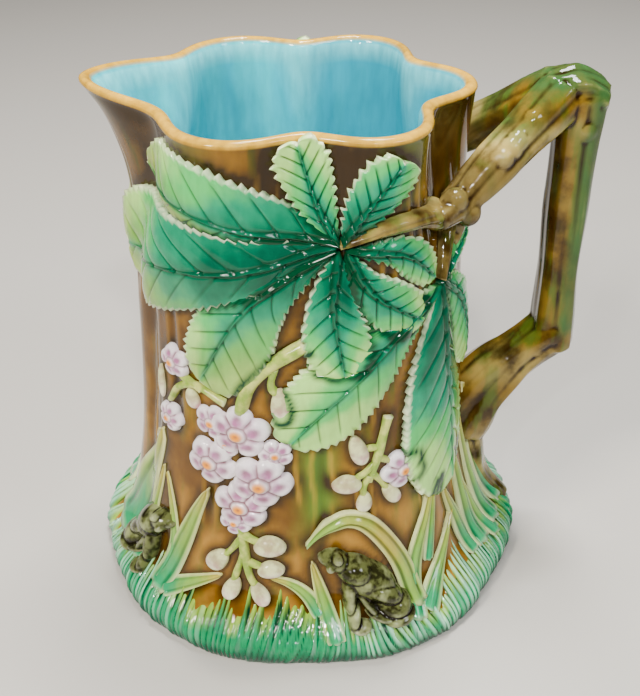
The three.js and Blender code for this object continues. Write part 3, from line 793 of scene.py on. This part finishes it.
# Sprigs. Rolled clay stems and buds laid on the bark, pale yellow-green with cream and a little
# pink at the tips of the buds.
STEMS = [
    (((-91, 126), (-101, 119), (-109, 109), (-112, 99)), 2.3, 2.0),
    (((-101, 117), (-102, 110), (-99, 106)), 1.3, 1.2),
    (((-117, 101), (-128, 104), (-136, 100), (-141, 92)), 1.5, 1.1),
    (((-126, 103), (-133, 105), (-138, 107)), 1.3, 1.0),
    (((-112.5, 50), (-111, 40), (-109, 30), (-106, 25)), 1.5, 1.0),
    (((-110, 36), (-106, 34.5), (-103, 34)), 1.1, 1.0),
    (((-112, 45), (-116, 38), (-119, 35)), 1.2, 1.0),
    (((-112.5, 47), (-107, 44.5), (-103, 44)), 1.3, 1.1),
    (((-111, 40), (-113, 31), (-114, 25)), 1.1, 1.0),
    (((-64, 94), (-67.5, 80), (-71, 69)), 1.6, 1.2),
    (((-67, 82), (-71, 82.5), (-74, 82)), 1.1, 1.0),
    (((-69, 76), (-73, 72), (-77, 70)), 1.1, 1.0),
    (((-68, 78), (-64, 75), (-61, 72)), 1.2, 1.0),
    (((-70, 72), (-67, 67), (-64, 62)), 1.1, 1.0),
    (((-71, 71), (-73, 66), (-73, 61)), 1.1, 1.0),
]
# place, half width, half length, lean in degrees
BUDS = [
    (-99, 102.5, 3.3, 6.8, 4), (-130, 98, 2.5, 4, 18), (-103, 43.5, 5.0, 3.9, 0), (-102.5, 33.8, 4.1, 3.2, 8),
    (-119.5, 33.5, 3.3, 4.9, -32), (-114, 24, 2.6, 4.6, -18), (-105.6, 23.5, 2.4, 4.6, 28),
    (-74.5, 82.5, 3.0, 6.4, 14), (-78.5, 69, 4.8, 3.5, 0), (-73, 60.5, 2.6, 4.2, -6),
    (-63.5, 60.8, 2.6, 5.0, 32), (-146, 97, 1.6, 7, 2),
]


def leaned(at, x, y, lean):
    """Places round a point on the sheet, turned by an angle in degrees."""
    c, s = math.cos(math.radians(lean)), math.sin(math.radians(lean))
    return at[0] + c * x - s * y, at[1] + s * x + c * y


def stem_form(stem, number, a, t, top):
    path, root, tip = stem
    half = mix(root, tip, t) * (1 + 0.1 * np.sin(9 * t + number))
    out = half * (0.35 + 1.15 * np.sqrt(held(1 - a ** 2)))
    edge = top & (np.abs(a) > 0.999)
    return *beside(path, t, a * half), np.where(top, out, -SUNK), edge, OVER_ALL, {"tip": 0}


def bud_form(bud, number, a, z):
    at_degrees, at_up, wide, tall, lean = bud
    share = np.sqrt(held(1 - z ** 2))
    y = tall * share * np.sin(a)
    x = wide * share * np.cos(a) * (1 - 0.18 * y / tall)
    out = np.where(z >= -0.01, 0.3 + 1.0 * wide ** 0.8 * held(z) ** 0.8, SUNK * z)
    tip = 0.5 + 0.5 * ease(-y / tall, -0.3, 0.7)
    return *leaned((at_degrees, at_up), x, y, lean), out, np.abs(z) < 0.08, OVER_ALL, {"tip": tip}


def sprig_colour(tree):
    waver = noise(tree, objects_at(tree), 240, 3)
    stalk = ramp(tree, waver, 0.35, 0.65, "c6cc6a", "8ba83c")
    bud = ramp(tree, waver, 0.4, 0.7, "ece8c4", "d2a0a0")
    return blend(tree, reads(tree, "tip"), stalk, bud)


sprig_glaze = glazed("sprig_glaze", sprig_colour, "44400c", "f8f4d6")
both_sides(
    sprig_glaze,
    ("stems", stem_form, STEMS, STEMS[:3] + STEMS[4:8:3], slabs, 10, 40),
    ("buds", bud_form, BUDS, BUDS[:3] + BUDS[6:7], balls, 28, 20),
)


# Tall blades. Flat tapering leaves of reed and grass luted on upright out of the turf, with a
# ridge along the middle. One is bent over into an arch for the frog.
# path, half width at the root, thickness
BLADES = [
    (((-168, 14), (-161, 40), (-150, 66), (-146, 76)), 9.5, 2.6),
    (((-152, 14), (-150, 34), (-145, 60)), 2.4, 2.2),
    (((-139, 16), (-137, 34), (-143, 58)), 1.8, 1.8),
    (((-138, 14), (-134, 30), (-129, 48), (-124.5, 61)), 3.6, 2.6),
    (((-135, 15), (-127, 21), (-118, 27.5)), 2.4, 2.2),
    (((-88, 17), (-92, 23.5), (-97, 28), (-103, 30.5)), 1.9, 2.0),
    (((-84, 10), (-87, 22), (-90, 36)), 2.3, 2.4),
    (((-91.5, 44), (-88, 48.5), (-84, 52), (-78.5, 54.5), (-72.5, 51.5), (-66.5, 42), (-62, 30), (-60, 16)),
     3.0, 3.6),
    (((-62, 12), (-57, 30), (-50, 44), (-45, 57)), 2.9, 2.6),
    (((-58, 13), (-47, 23), (-35, 35)), 2.7, 2.6),
    (((-52, 26), (-47, 42), (-43, 58)), 1.8, 2.0),
    (((-31, 15), (-33, 30), (-38, 47)), 3.0, 2.6),
    (((-26, 14), (-25.5, 40), (-30, 66)), 3.6, 3.0),
    (((-14, 14), (-15, 40), (-20, 68)), 3.8, 3.0),
    (((-4, 14), (-5, 40), (-8, 74)), 4.0, 3.0),
    (((-19, 12), (-21, 28), (-25, 44)), 2.6, 2.6),
]


def blade_form(blade, number, a, t, top):
    """Blades that taper to a point, with a ridge along the middle. The arch tapers to its bent tip."""
    path, root, thick = blade
    arch = len(path) > 5
    if arch:
        half = root * mix(0.15, 1, ease(t, 0, 0.3))
        reached = 1 - np.abs(2 * t - 1) * 0.6
    else:
        half = root * (1 - 0.85 * t ** 2.2) * (1 - ease(t, 0.93, 1.0))
        reached = t
        thick = thick * (1 - 0.35 * t)
    half = half * ease(t, -0.2, 0.05) + 0.25
    ridge = 0.55 + 0.45 * (1 - np.abs(a)) - 0.22 * bell(np.abs(a) - 0.5, 0.16)
    edge = top & (np.abs(a) > 0.999)
    return *beside(path, t, a * half), np.where(top, thick * ridge, -SUNK), edge, OVER_ALL, {
        "reach": reached,
        "rim": ease(np.abs(a), 0.55, 0.95),
    }


def blade_colour(tree):
    at = objects_at(tree)
    waver = noise(tree, stretched(tree, at, (1, 1, 0.3)), 170, 3)
    reach = shifted(tree, reads(tree, "reach"), waver, 0.5)
    colour = ramp(tree, reach, 0.05, 0.5, "1d9a60", "86b048")
    colour = ramp(tree, reach, 0.5, 1.0, colour, "b8aa46")
    return blend(tree, maths(tree, "MULTIPLY", reads(tree, "rim"), 0.55), colour, "dcdc90")


blade_glaze = glazed("blade_glaze", blade_colour, "0d2a08", "f2f2c4")
both_sides(blade_glaze, ("blades", blade_form, BLADES, BLADES[::2], slabs, 14, 60))


# Turf. A skirt of combed grass modelled round the foot, blade beside blade, with ragged tips
# above and the ends running down over the bulge to the table. Green, mint and yellow-green.
TURF_COLUMNS = 1500
TURF_BLADES = 250
TURF_TOP = 15.5
TURF_THICK = 1.9
# out, as a share of the thickness, and up, as a share of the blade's height
turf_rows = np.array(
    [(0.0, 1.0), (0.45, 0.95), (0.75, 0.88), (0.95, 0.8), (1.0, 0.71), (1.0, 0.62), (1.0, 0.53), (1.0, 0.44)]
    + [(1.0, 0.36), (0.97, 0.28), (0.93, 0.2), (0.85, 0.13), (0.7, 0.07), (0.5, 0.03), (0.2, 0.0)]
    + [(-1.6, 0.0), (-2.6, 0.1), (-2.6, 0.5), (-1.4, 0.9), (0.0, 1.0)]
)
turf_mesh, angle, row, out, level_up = turned("turf", TURF_COLUMNS, turf_rows)
outer_face = row < 14.5
lean = 2.6 * np.sin(5 * angle + 0.6) + 0.8 * np.sin(9 * angle)
bunch = 0.5 * np.sin(13 * angle) + 0.25 * np.sin(29 * angle + 1)
number = (angle / (2 * math.pi) + 0.5) * TURF_BLADES + bunch + lean * (level_up - 0.3)
index = np.floor(number).astype(int) % TURF_BLADES
toss = np.random.default_rng(11)
tall_of = toss.uniform(-2, 10, TURF_BLADES)
thick_of = toss.uniform(0.45, 1.15, TURF_BLADES)
gap_of = toss.uniform(0.2, 1, TURF_BLADES)
round_of = (np.arange(TURF_BLADES) + 0.5) / TURF_BLADES * 2 * math.pi - math.pi
pale_bands = 0.25 + 0.25 * np.sin(3 * round_of - 2.2) + 0.12 * np.sin(8 * round_of)
pale_of = toss.uniform(0, 0.55, TURF_BLADES) + pale_bands
inside_blade = number - np.floor(number)
ridge = np.sin(math.pi * inside_blade) ** 0.85
narrowing = ease(level_up, 0.6, 1.0)
long_wave = 2.4 * np.sin(3 * angle + 1) + 1.8 * np.sin(7 * angle)
tops = TURF_TOP + long_wave + tall_of[index] * ridge ** 1.3 - 1.0
up = level_up * np.where(outer_face, tops, TURF_TOP - 6)
fullness = (0.45 + 0.55 * ridge ** mix(0.8, 1.8, narrowing)) * thick_of[index]
thick = TURF_THICK * np.where(outer_face & (out > 0), fullness, 1.0)
radius = bark_radius(angle, up) + out * thick
to_gap = np.minimum(inside_blade, 1 - inside_blade)
mask(
    turf_mesh, ridge=ridge, height=level_up, streak=pale_of[index],
    gap=bell(to_gap, 0.13) * ease(level_up, 0.02, 0.2) * gap_of[index] ** 0.5,
)
move_corners(turf_mesh, around_axis(angle, radius, np.clip(up, 0, None)), weld=True)


def turf_colour(tree):
    at = objects_at(tree)
    waver = noise(tree, at, 60, 3)
    height = shifted(tree, reads(tree, "height"), waver, 0.6)
    colour = ramp(tree, height, 0.1, 0.55, "015038", "088c54")
    colour = ramp(tree, height, 0.6, 1.0, colour, "93b63a")
    pale = span(tree, reads(tree, "streak"), 0.35, 0.85)
    pale = maths(tree, "MULTIPLY", pale, span(tree, reads(tree, "ridge"), 0.35, 0.9))
    pale = maths(tree, "MULTIPLY", pale, span(tree, reads(tree, "height"), 0.15, 0.5))
    return blend(tree, maths(tree, "MULTIPLY", pale, 0.6), colour, "b4f2cc")


link("turf", turf_mesh, glazed("turf_glaze", turf_colour, "01301a", "e2fbe8"))


# Frogs. Two small frogs modelled by hand and luted into the turf, one under the arched blade and
# one in the reeds by the spout: olive-grey glaze with dark mottling in the folds.
# parts: shift round and up, half width, half length, height, lean, lift
FROG_PARTS = [
    (0.5, 0.0, 6.4, 11.5, 7.6, 40, 0),          # body
    (-3.5, 5.0, 5.4, 6.4, 8.2, 50, 0),          # shoulders
    (-9.0, 9.0, 3.9, 4.6, 6.6, 62, 0),          # head
    (-12.2, 9.4, 1.8, 2.2, 4.4, 70, 0),         # snout
    (-8.6, 11.6, 1.5, 1.5, 2.6, 0, 5.2),        # eyes
    (-10.8, 8.0, 1.3, 1.3, 2.2, 0, 5.0),
    (3.6, -4.0, 3.8, 8.6, 8.8, 48, 0),          # thigh
    (7.2, -10.0, 5.2, 4.6, 7.6, 0, 0),          # knee
    (7.5, -14.0, 5.4, 2.6, 6.2, 8, 0),          # hind foot
    (2.8, -13.2, 1.5, 4.6, 5.4, 70, 0),
    (-5.4, -4.5, 2.1, 7.6, 7.0, -4, 0),         # foreleg
    (-4.6, -11.6, 1.8, 4.2, 6.0, -14, 0),
    (-3.4, -15.2, 3.2, 1.5, 5.2, 6, 0),         # forefoot
    (-1.0, -7.5, 1.6, 6.0, 6.4, 24, 0),
]
FROGS = [(-74, 29, 1), (-151, 29, -1)]


def fused(name, meshes, voxel, smoothing):
    """Joins overlapping closed forms into one skin, as clay is luted and sponged smooth."""
    joined = bmesh.new()
    for mesh in meshes:
        joined.from_mesh(mesh)
    mesh = bpy.data.meshes.new(name)
    joined.to_mesh(mesh)
    joined.free()
    maker = show(name + "_maker", mesh)
    remesh = maker.modifiers.new("skin", "REMESH")
    remesh.mode = "VOXEL"
    remesh.voxel_size = voxel
    smooth = maker.modifiers.new("sponge", "SMOOTH")
    smooth.factor = 0.5
    smooth.iterations = smoothing
    done = bpy.data.meshes.new_from_object(maker.evaluated_get(bpy.context.evaluated_depsgraph_get()))
    done.name = name
    bpy.data.objects.remove(maker)
    for face in done.polygons:
        face.use_smooth = True
    return done


def frog_form(part, number, a, z):
    at_degrees, at_up, face, x0, y0, wide, tall, high_out, lean, lift = part
    share = np.sqrt(held(1 - z ** 2))
    x, y = leaned((x0, y0), wide * share * np.cos(a), tall * share * np.sin(a), lean)
    out = np.where(z > 0, lift + high_out * held(z), SUNK * z)
    return at_degrees + face * x, at_up + y, out, (np.abs(z) < 0.1) & (lift < 1), OVER_ALL, {}


def frog_colour(tree):
    at = objects_at(tree)
    spot = noise(tree, at, 330, 3)
    patch = noise(tree, at, 120, 3)
    colour = ramp(tree, spot, 0.38, 0.62, "24240e", "5c6236")
    return ramp(tree, patch, 0.5, 0.7, colour, "949c68")


frog_glaze = glazed("frog_glaze", frog_colour, "120c04", "c6caa0")
for number, frog in enumerate(FROGS):
    name = f"frog_{number + 1}"
    parts = [frog + part for part in FROG_PARTS]
    clay = relief(name + "_clay", balls(name + "_clay", len(parts), 24, 16), -1, frog_form, parts)
    link(name, fused(name, [clay], 0.45 * MM, 3), frog_glaze)


# Handle. A jointed branch, pressed in a mould and luted on: an arm up from the roots to the
# elbow, an upright, a short top piece, and from its crest a fork to each side of the rim. The
# forks lie on the bark and run out as the stalks of the leaves. Knots stand where twigs came off.
HANDLE_REACH = 96.5
ELBOW = 92.0
TOP = RIM - 8
FORK = 7.5


def place_of(point):
    """A place in metres for a point in millimetres from the trunk's axis."""
    return MM * np.array(point) + np.array([AXIS_X, 0, 0])


def limb(path, radii, squareness=2.6, lumps=0.05, twist=0.4):
    """A log with rounded ends along a path in space, in millimetres from the trunk's axis."""
    mesh, _, around, height = balls("log", 1, 40, 90)
    t = (1 - height) / 2
    total = length_of(path)
    at, way = follow(path, t * total)
    wide = np.array([0.0, 1.0, 0.0]) - way * way[:, 1:2]
    wide /= np.linalg.norm(wide, axis=1)[:, None]
    deep = np.cross(wide, way)
    ends = held((1 - np.abs(height)) / 0.035) ** 0.5
    radii = np.array(radii, dtype=float)
    steps = np.linspace(0, 1, len(radii))
    side_half = np.interp(t, steps, radii[:, 0])
    deep_half = np.interp(t, steps, radii[:, 1])
    phi = around + twist * t
    square = (np.abs(np.cos(phi)) ** squareness + np.abs(np.sin(phi)) ** squareness) ** (-1 / squareness)
    ridge = 0.6 * np.sin(5 * phi + 3 * t) + 0.4 * np.sin(11 * phi - 5 * t + 1)
    size = square * (1 + lumps * ridge + 0.03 * np.sin(14 * t)) * ends
    across, inward = side_half * size * np.cos(phi), deep_half * size * np.sin(phi)
    move_corners(mesh, place_of(at + wide * across[:, None] + deep * inward[:, None]))
    return mesh


def knot(point, size):
    mesh, _, around, height = balls("knot", 1, 24, 16)
    share = np.sqrt(held(1 - height ** 2))
    points = size * np.stack([share * np.cos(around), share * np.sin(around), height], axis=-1)
    move_corners(mesh, points * MM + place_of(point))
    return mesh


def bark_spot(degrees, up, out):
    """A point over the bark, in millimetres from the trunk's axis."""
    spot = on_bark(np.array([degrees], float), np.array([up], float), np.array([out], float))[0]
    return (spot - np.array([AXIS_X, 0, 0])) / MM


root_x = float(bark_radius(0.0, 62.0)) - WALL + 2
handle_forms = [
    limb([(root_x, 0, 52), (root_x + 0.45 * (HANDLE_REACH - root_x), 0, 74.5), (HANDLE_REACH, 0, ELBOW + 2)],
         [(14, 16.5), (12, 12.5), (10, 9), (9.8, 8.6)], 2.3, 0.09),
    limb([(HANDLE_REACH + 0.5, 0, ELBOW - 6), (HANDLE_REACH - 0.3, 0, 140), (HANDLE_REACH, 0, TOP + 3)],
         [(9.4, 8.0), (8.9, 7.4), (9.0, 7.6), (9.8, 8.4)], 2.7, 0.07),
    limb([(HANDLE_REACH + 7, 0, TOP - 1), (HANDLE_REACH - 1, 0, TOP + 3), (HANDLE_REACH - 12, 0, TOP + 2)],
         [(8.5, 6), (10, 8.0), (9, 8)], 2.4, 0.12),
    limb([(root_x + 2, 0, 66), bark_spot(0, 42, 2), bark_spot(0, 24, 0), bark_spot(0, 8, -2)],
         [(12, 7), (9, 6), (6.5, 5), (5, 4)], 2.2, 0.1),
]
for side in (-1, 1):
    crest = np.array([HANDLE_REACH - 7, 2 * side, TOP + 3])
    end = bark_spot(side * 27, 162, FORK)
    tail = bark_spot(side * 43, 160, 2.4)
    on_fork = {share: crest + share * (end - crest) for share in (0.33, 0.5, 0.58, 0.66)}
    handle_forms += [
        limb([crest, on_fork[0.5], end, tail],
             [(8.6, 8.6), (8.3, 8.3), (7.8, 8), (7.6, 7.8), (7, 7), (5.4, 5.4), (3.6, 3.6)], 2.2, 0.09),
        limb([end + np.array([-2, 0, 2]), bark_spot(side * 24, 150, 2), bark_spot(side * 29, 146, 1)],
             [(5.5, 5), (4.6, 4), (3, 3)], 2.2, 0.08),
        knot(on_fork[0.58] + np.array([1, side * 4.2, 3.6]), 4.0),
        knot(on_fork[0.66] + np.array([1, side * 4.6, 3.4]), 3.7),
        knot(on_fork[0.5] + np.array([0, side * 4.6, 3.0]), 3.8),
        knot(on_fork[0.33] + np.array([0, side * 3.6, 3.8]), 3.8),
        knot(end + np.array([2, side * 2, -4.0]), 4.8),
        knot(end + np.array([-3, side * 5, 2.0]), 4.4),
    ]
# knots of the elbow and the top: place from the elbow, and radius
for (x, y, z), size in (
    ((4.4, -4, 95), 4.6), ((4.6, 3, 94.5), 4.2), ((-5, -5, 97), 4.6), ((-8, 3, 98), 4.4),
    ((3.9, 0, -2), 5.4), ((-1, -5, 3), 5.6), ((-7, -4.6, -3), 5.2), ((1, -5.2, 86), 5.2),
):
    handle_forms.append(knot((HANDLE_REACH + x, y, ELBOW + z), size))
handle_mesh = fused("handle", handle_forms, 0.75 * MM, 3)
points = corners_of(handle_mesh)
x, y, z = (points[:, 0] - AXIS_X) / MM, points[:, 1] / MM, points[:, 2] / MM
streaky = np.sin(z / 6.3 + 0.5 * y) * np.sin(z / 2.9 + x / 3)
outer_side = 0.9 * ease(x, HANDLE_REACH - 2, HANDLE_REACH + 3) * ease(z, 92, 100)
on_top = ease(z, TOP + 2.5, TOP + 8)
fork_back = ease(np.abs(y), 3, 8) * (1 - ease(x, 78, 86)) * ease(z, 176, 182)
mask(handle_mesh, green=held(outer_side + 0.9 * on_top + 0.35 * fork_back + 0.12 * streaky))
creamy = ease(np.abs(y), 8, 13) * ease(z, 142, 152) * (1 - ease(z, 180, 186))
root_cream = 0.8 * (1 - ease(z, 40, 62)) * (1 - ease(x, 78, 84))
lower_arm = 0.5 * ease(z, 70, 80) * (1 - ease(z, 86, 93)) * (1 - ease(y, -6, 2))
mask(handle_mesh, cream=held(creamy + lower_arm + root_cream))
# painted shade: the inner side of the upright, facing the trunk, is darkened to dark brown as if in shadow
shaded_inner_side = ease(-x, -HANDLE_REACH + 4, -HANDLE_REACH + 7.5)
mask(handle_mesh, shade=shaded_inner_side * ease(z, 96, 106) * (1 - ease(z, 172, 180)))


def handle_colour(tree):
    at = objects_at(tree)
    patch = noise(tree, at, 75, 5)
    streak = noise(tree, stretched(tree, at, (1, 1, 0.25)), 150, 4)
    colour = ramp(tree, patch, 0.35, 0.65, "382606", "82641c")
    colour = blend(tree, maths(tree, "MULTIPLY", span(tree, streak, 0.48, 0.64), 0.85), colour, "4c5c18")
    cream = maths(tree, "MULTIPLY", reads(tree, "cream"), span(tree, patch, 0.3, 0.6))
    colour = blend(tree, maths(tree, "MULTIPLY", cream, 0.6), colour, "ccb86c")
    green = broken(tree, reads(tree, "green"), streak, 0.8, 0.5)
    colour = blend(tree, green, colour, "36592c")
    # painted shade: dark brown on the inner side of the upright
    return blend(tree, maths(tree, "MULTIPLY", reads(tree, "shade"), 0.6), colour, "2e1203")


handle_glaze = glazed("handle_glaze", handle_colour, "1e0c02", "ecdc8c")
link("handle", handle_mesh, handle_glaze)


# Leaf stalks. Each fork of the handle runs out on the bark as two stalks, one to each leaf, of
# rolled clay smoothed down at the sides, with the handle's own glaze.
STALKS = [
    (((-36, 159.5), (-44, 162), (-54, 165.5), (-66, 165.5), (-79.5, 160.5)), 5.2, 1.5, 6.2, 2.6),
    (((-22, 157), (-30, 151), (-36, 143), (-39, 137.5)), 4.2, 1.8, 5.2, 3.4),
]


def stalk_form(stalk, number, a, t, top):
    path, root, tip, high_root, high_tip = stalk
    half = mix(root, tip, t ** 0.8) * (1 + 0.06 * np.sin(13 * t + number))
    dome = np.sqrt(held(1 - a ** 2)) * (1 + 0.06 * np.sin(9 * a + 6 * t))
    out = np.where(top, mix(high_root, high_tip, t) * (0.15 + 0.85 * dome), -SUNK)
    edge = top & (np.abs(a) > 0.999)
    return *beside(path, t, a * half), out, edge, OVER_ALL, {"green": 0, "cream": 0.55, "shade": 0}


both_sides(handle_glaze, ("stalks", stalk_form, STALKS, STALKS, slabs, 20, 70))


# Pooling. In the kiln the glaze ran down off the relief: it lies dark in hollows and along the foot
# of everything that stands out of the bark, and thin and pale on ridges and edges. On the trunk the
# same dark mask also carries painted shade under the lip's flare and down the front flank by the
# spout, and the inside is painted darker on the handle side as shade.
POOL_REACH = 2.6
UNDER_LEAF_REACH = 2.4    # on one leaflet, from the edge of one that lies over it
points = np.concatenate(outlines)
tree_of_edges = KDTree(len(points))
for number, (at_degrees, at_up, _) in enumerate(points):
    tree_of_edges.insert((at_degrees, at_up, 0), number)
tree_of_edges.balance()

corners = corners_of(trunk_mesh)
degrees = mask_of(trunk_mesh, "round")
height = mask_of(trunk_mesh, "up")
inside = mask_of(trunk_mesh, "inside")
outside = 1 - held(inside + mask_of(trunk_mesh, "lip"))
near = np.array([tree_of_edges.find((d, h, 0))[2] for d, h in zip(degrees, height)])
swell = bark_radius(np.radians(degrees), height) - plain_radius(height)
valley = 1 - ease(swell, -9, -2)
# painted shade: the bark under the lip's flare is darkened, as if lying in its shadow
shade_under_lip = ease(height, RIM - 42, RIM - 6)
# painted shade: a dark band down the front flank by the spout, where that side lies in shadow
shaded_spout_flank = bell(degrees + 160, 15) * ease(height, 40, 80)
bowl = hollows(trunk_mesh)
groove = mask_of(trunk_mesh, "groove")
pool = 0.95 * np.exp(-(near / POOL_REACH) ** 1.4) + 0.42 * valley * ease(height, 40, 110)
pool += 0.42 * shade_under_lip + 0.5 * shaded_spout_flank + 0.4 * groove
inner_valley = ease(swell, -7, 1)
inner_pool = 0.12 + 0.4 * inner_valley * ease(height, 60, 190) + 0.4 * (1 - ease(height, 12, 60))
mask(trunk_mesh, pool=held(outside * pool + inside * inner_pool))
mask(trunk_mesh, thin=np.clip(-9 * bowl - 0.2, 0, 0.4) * (1 - held(groove)))
moss = bell(degrees + 87, 5.5) * ease(height, 40, 60) * (1 - ease(height, 88, 100))
moss += 0.7 * bell(degrees + 50, 5) * ease(height, 30, 45) * (1 - ease(height, 66, 80))
moss += 0.6 * ease(height, 168, 184) * held(np.sin(np.radians(degrees) * 5 + 0.6))
mask(trunk_mesh, moss=held(moss) * outside)
mask(trunk_mesh, low=0.6 * outside * (1 - ease(height, 24, 72)) * (1 - pool))
# painted shade on the inside, growing towards the handle side
mask(trunk_mesh, deep_blue=inside * ease((corners[:, 0] - AXIS_X) / MM, -50, 45) * 0.9)

for name, parts in where_sheet.items():
    if "leaf" not in name:
        continue
    mesh = bpy.data.objects[name].data
    lift = mask_of(mesh, "lift")
    over_pool = np.zeros(len(lift))
    for own, at_degrees, at_up in parts:
        for corner, d, h in zip(np.flatnonzero(own), at_degrees, at_up):
            for _, found, distance in tree_of_edges.find_range((d, h, 0), UNDER_LEAF_REACH):
                if points[found][2] > lift[corner] + 0.005:
                    over_pool[corner] = max(over_pool[corner], math.exp(-(distance / 1.5) ** 2))
                    if over_pool[corner] > 0.9:
                        break
    vein = mask_of(mesh, "vein")
    edge = mask_of(mesh, "edge")
    mask(mesh, pool=held(0.85 * vein * (1 - 0.2 * mask_of(mesh, "pale")) + over_pool))
    mask(mesh, thin=held(edge * (1 - over_pool)))

# Where a hollow of this depth is full of glaze, and a ridge of this height is bare, in millimetres
FULL = {
    "blossom": 0.10, "stems": 0.12, "buds": 0.2,
    "blades": 0.10, "turf": 0.12, "frog": 0.012, "handle": 0.034, "stalks": 0.08,
}
for piece in [p for p in bpy.data.objects if p.type == "MESH" and p.name.split("_")[0] in FULL]:
    bowl = hollows(piece.data) / FULL[piece.name.split("_")[0]]
    gap = mask_of(piece.data, "gap") if piece.name == "turf" else 0
    mask(piece.data, pool=held(bowl + gap) * 0.9)
    mask(piece.data, thin=held((-bowl - 1.2) / 4) * 0.4)
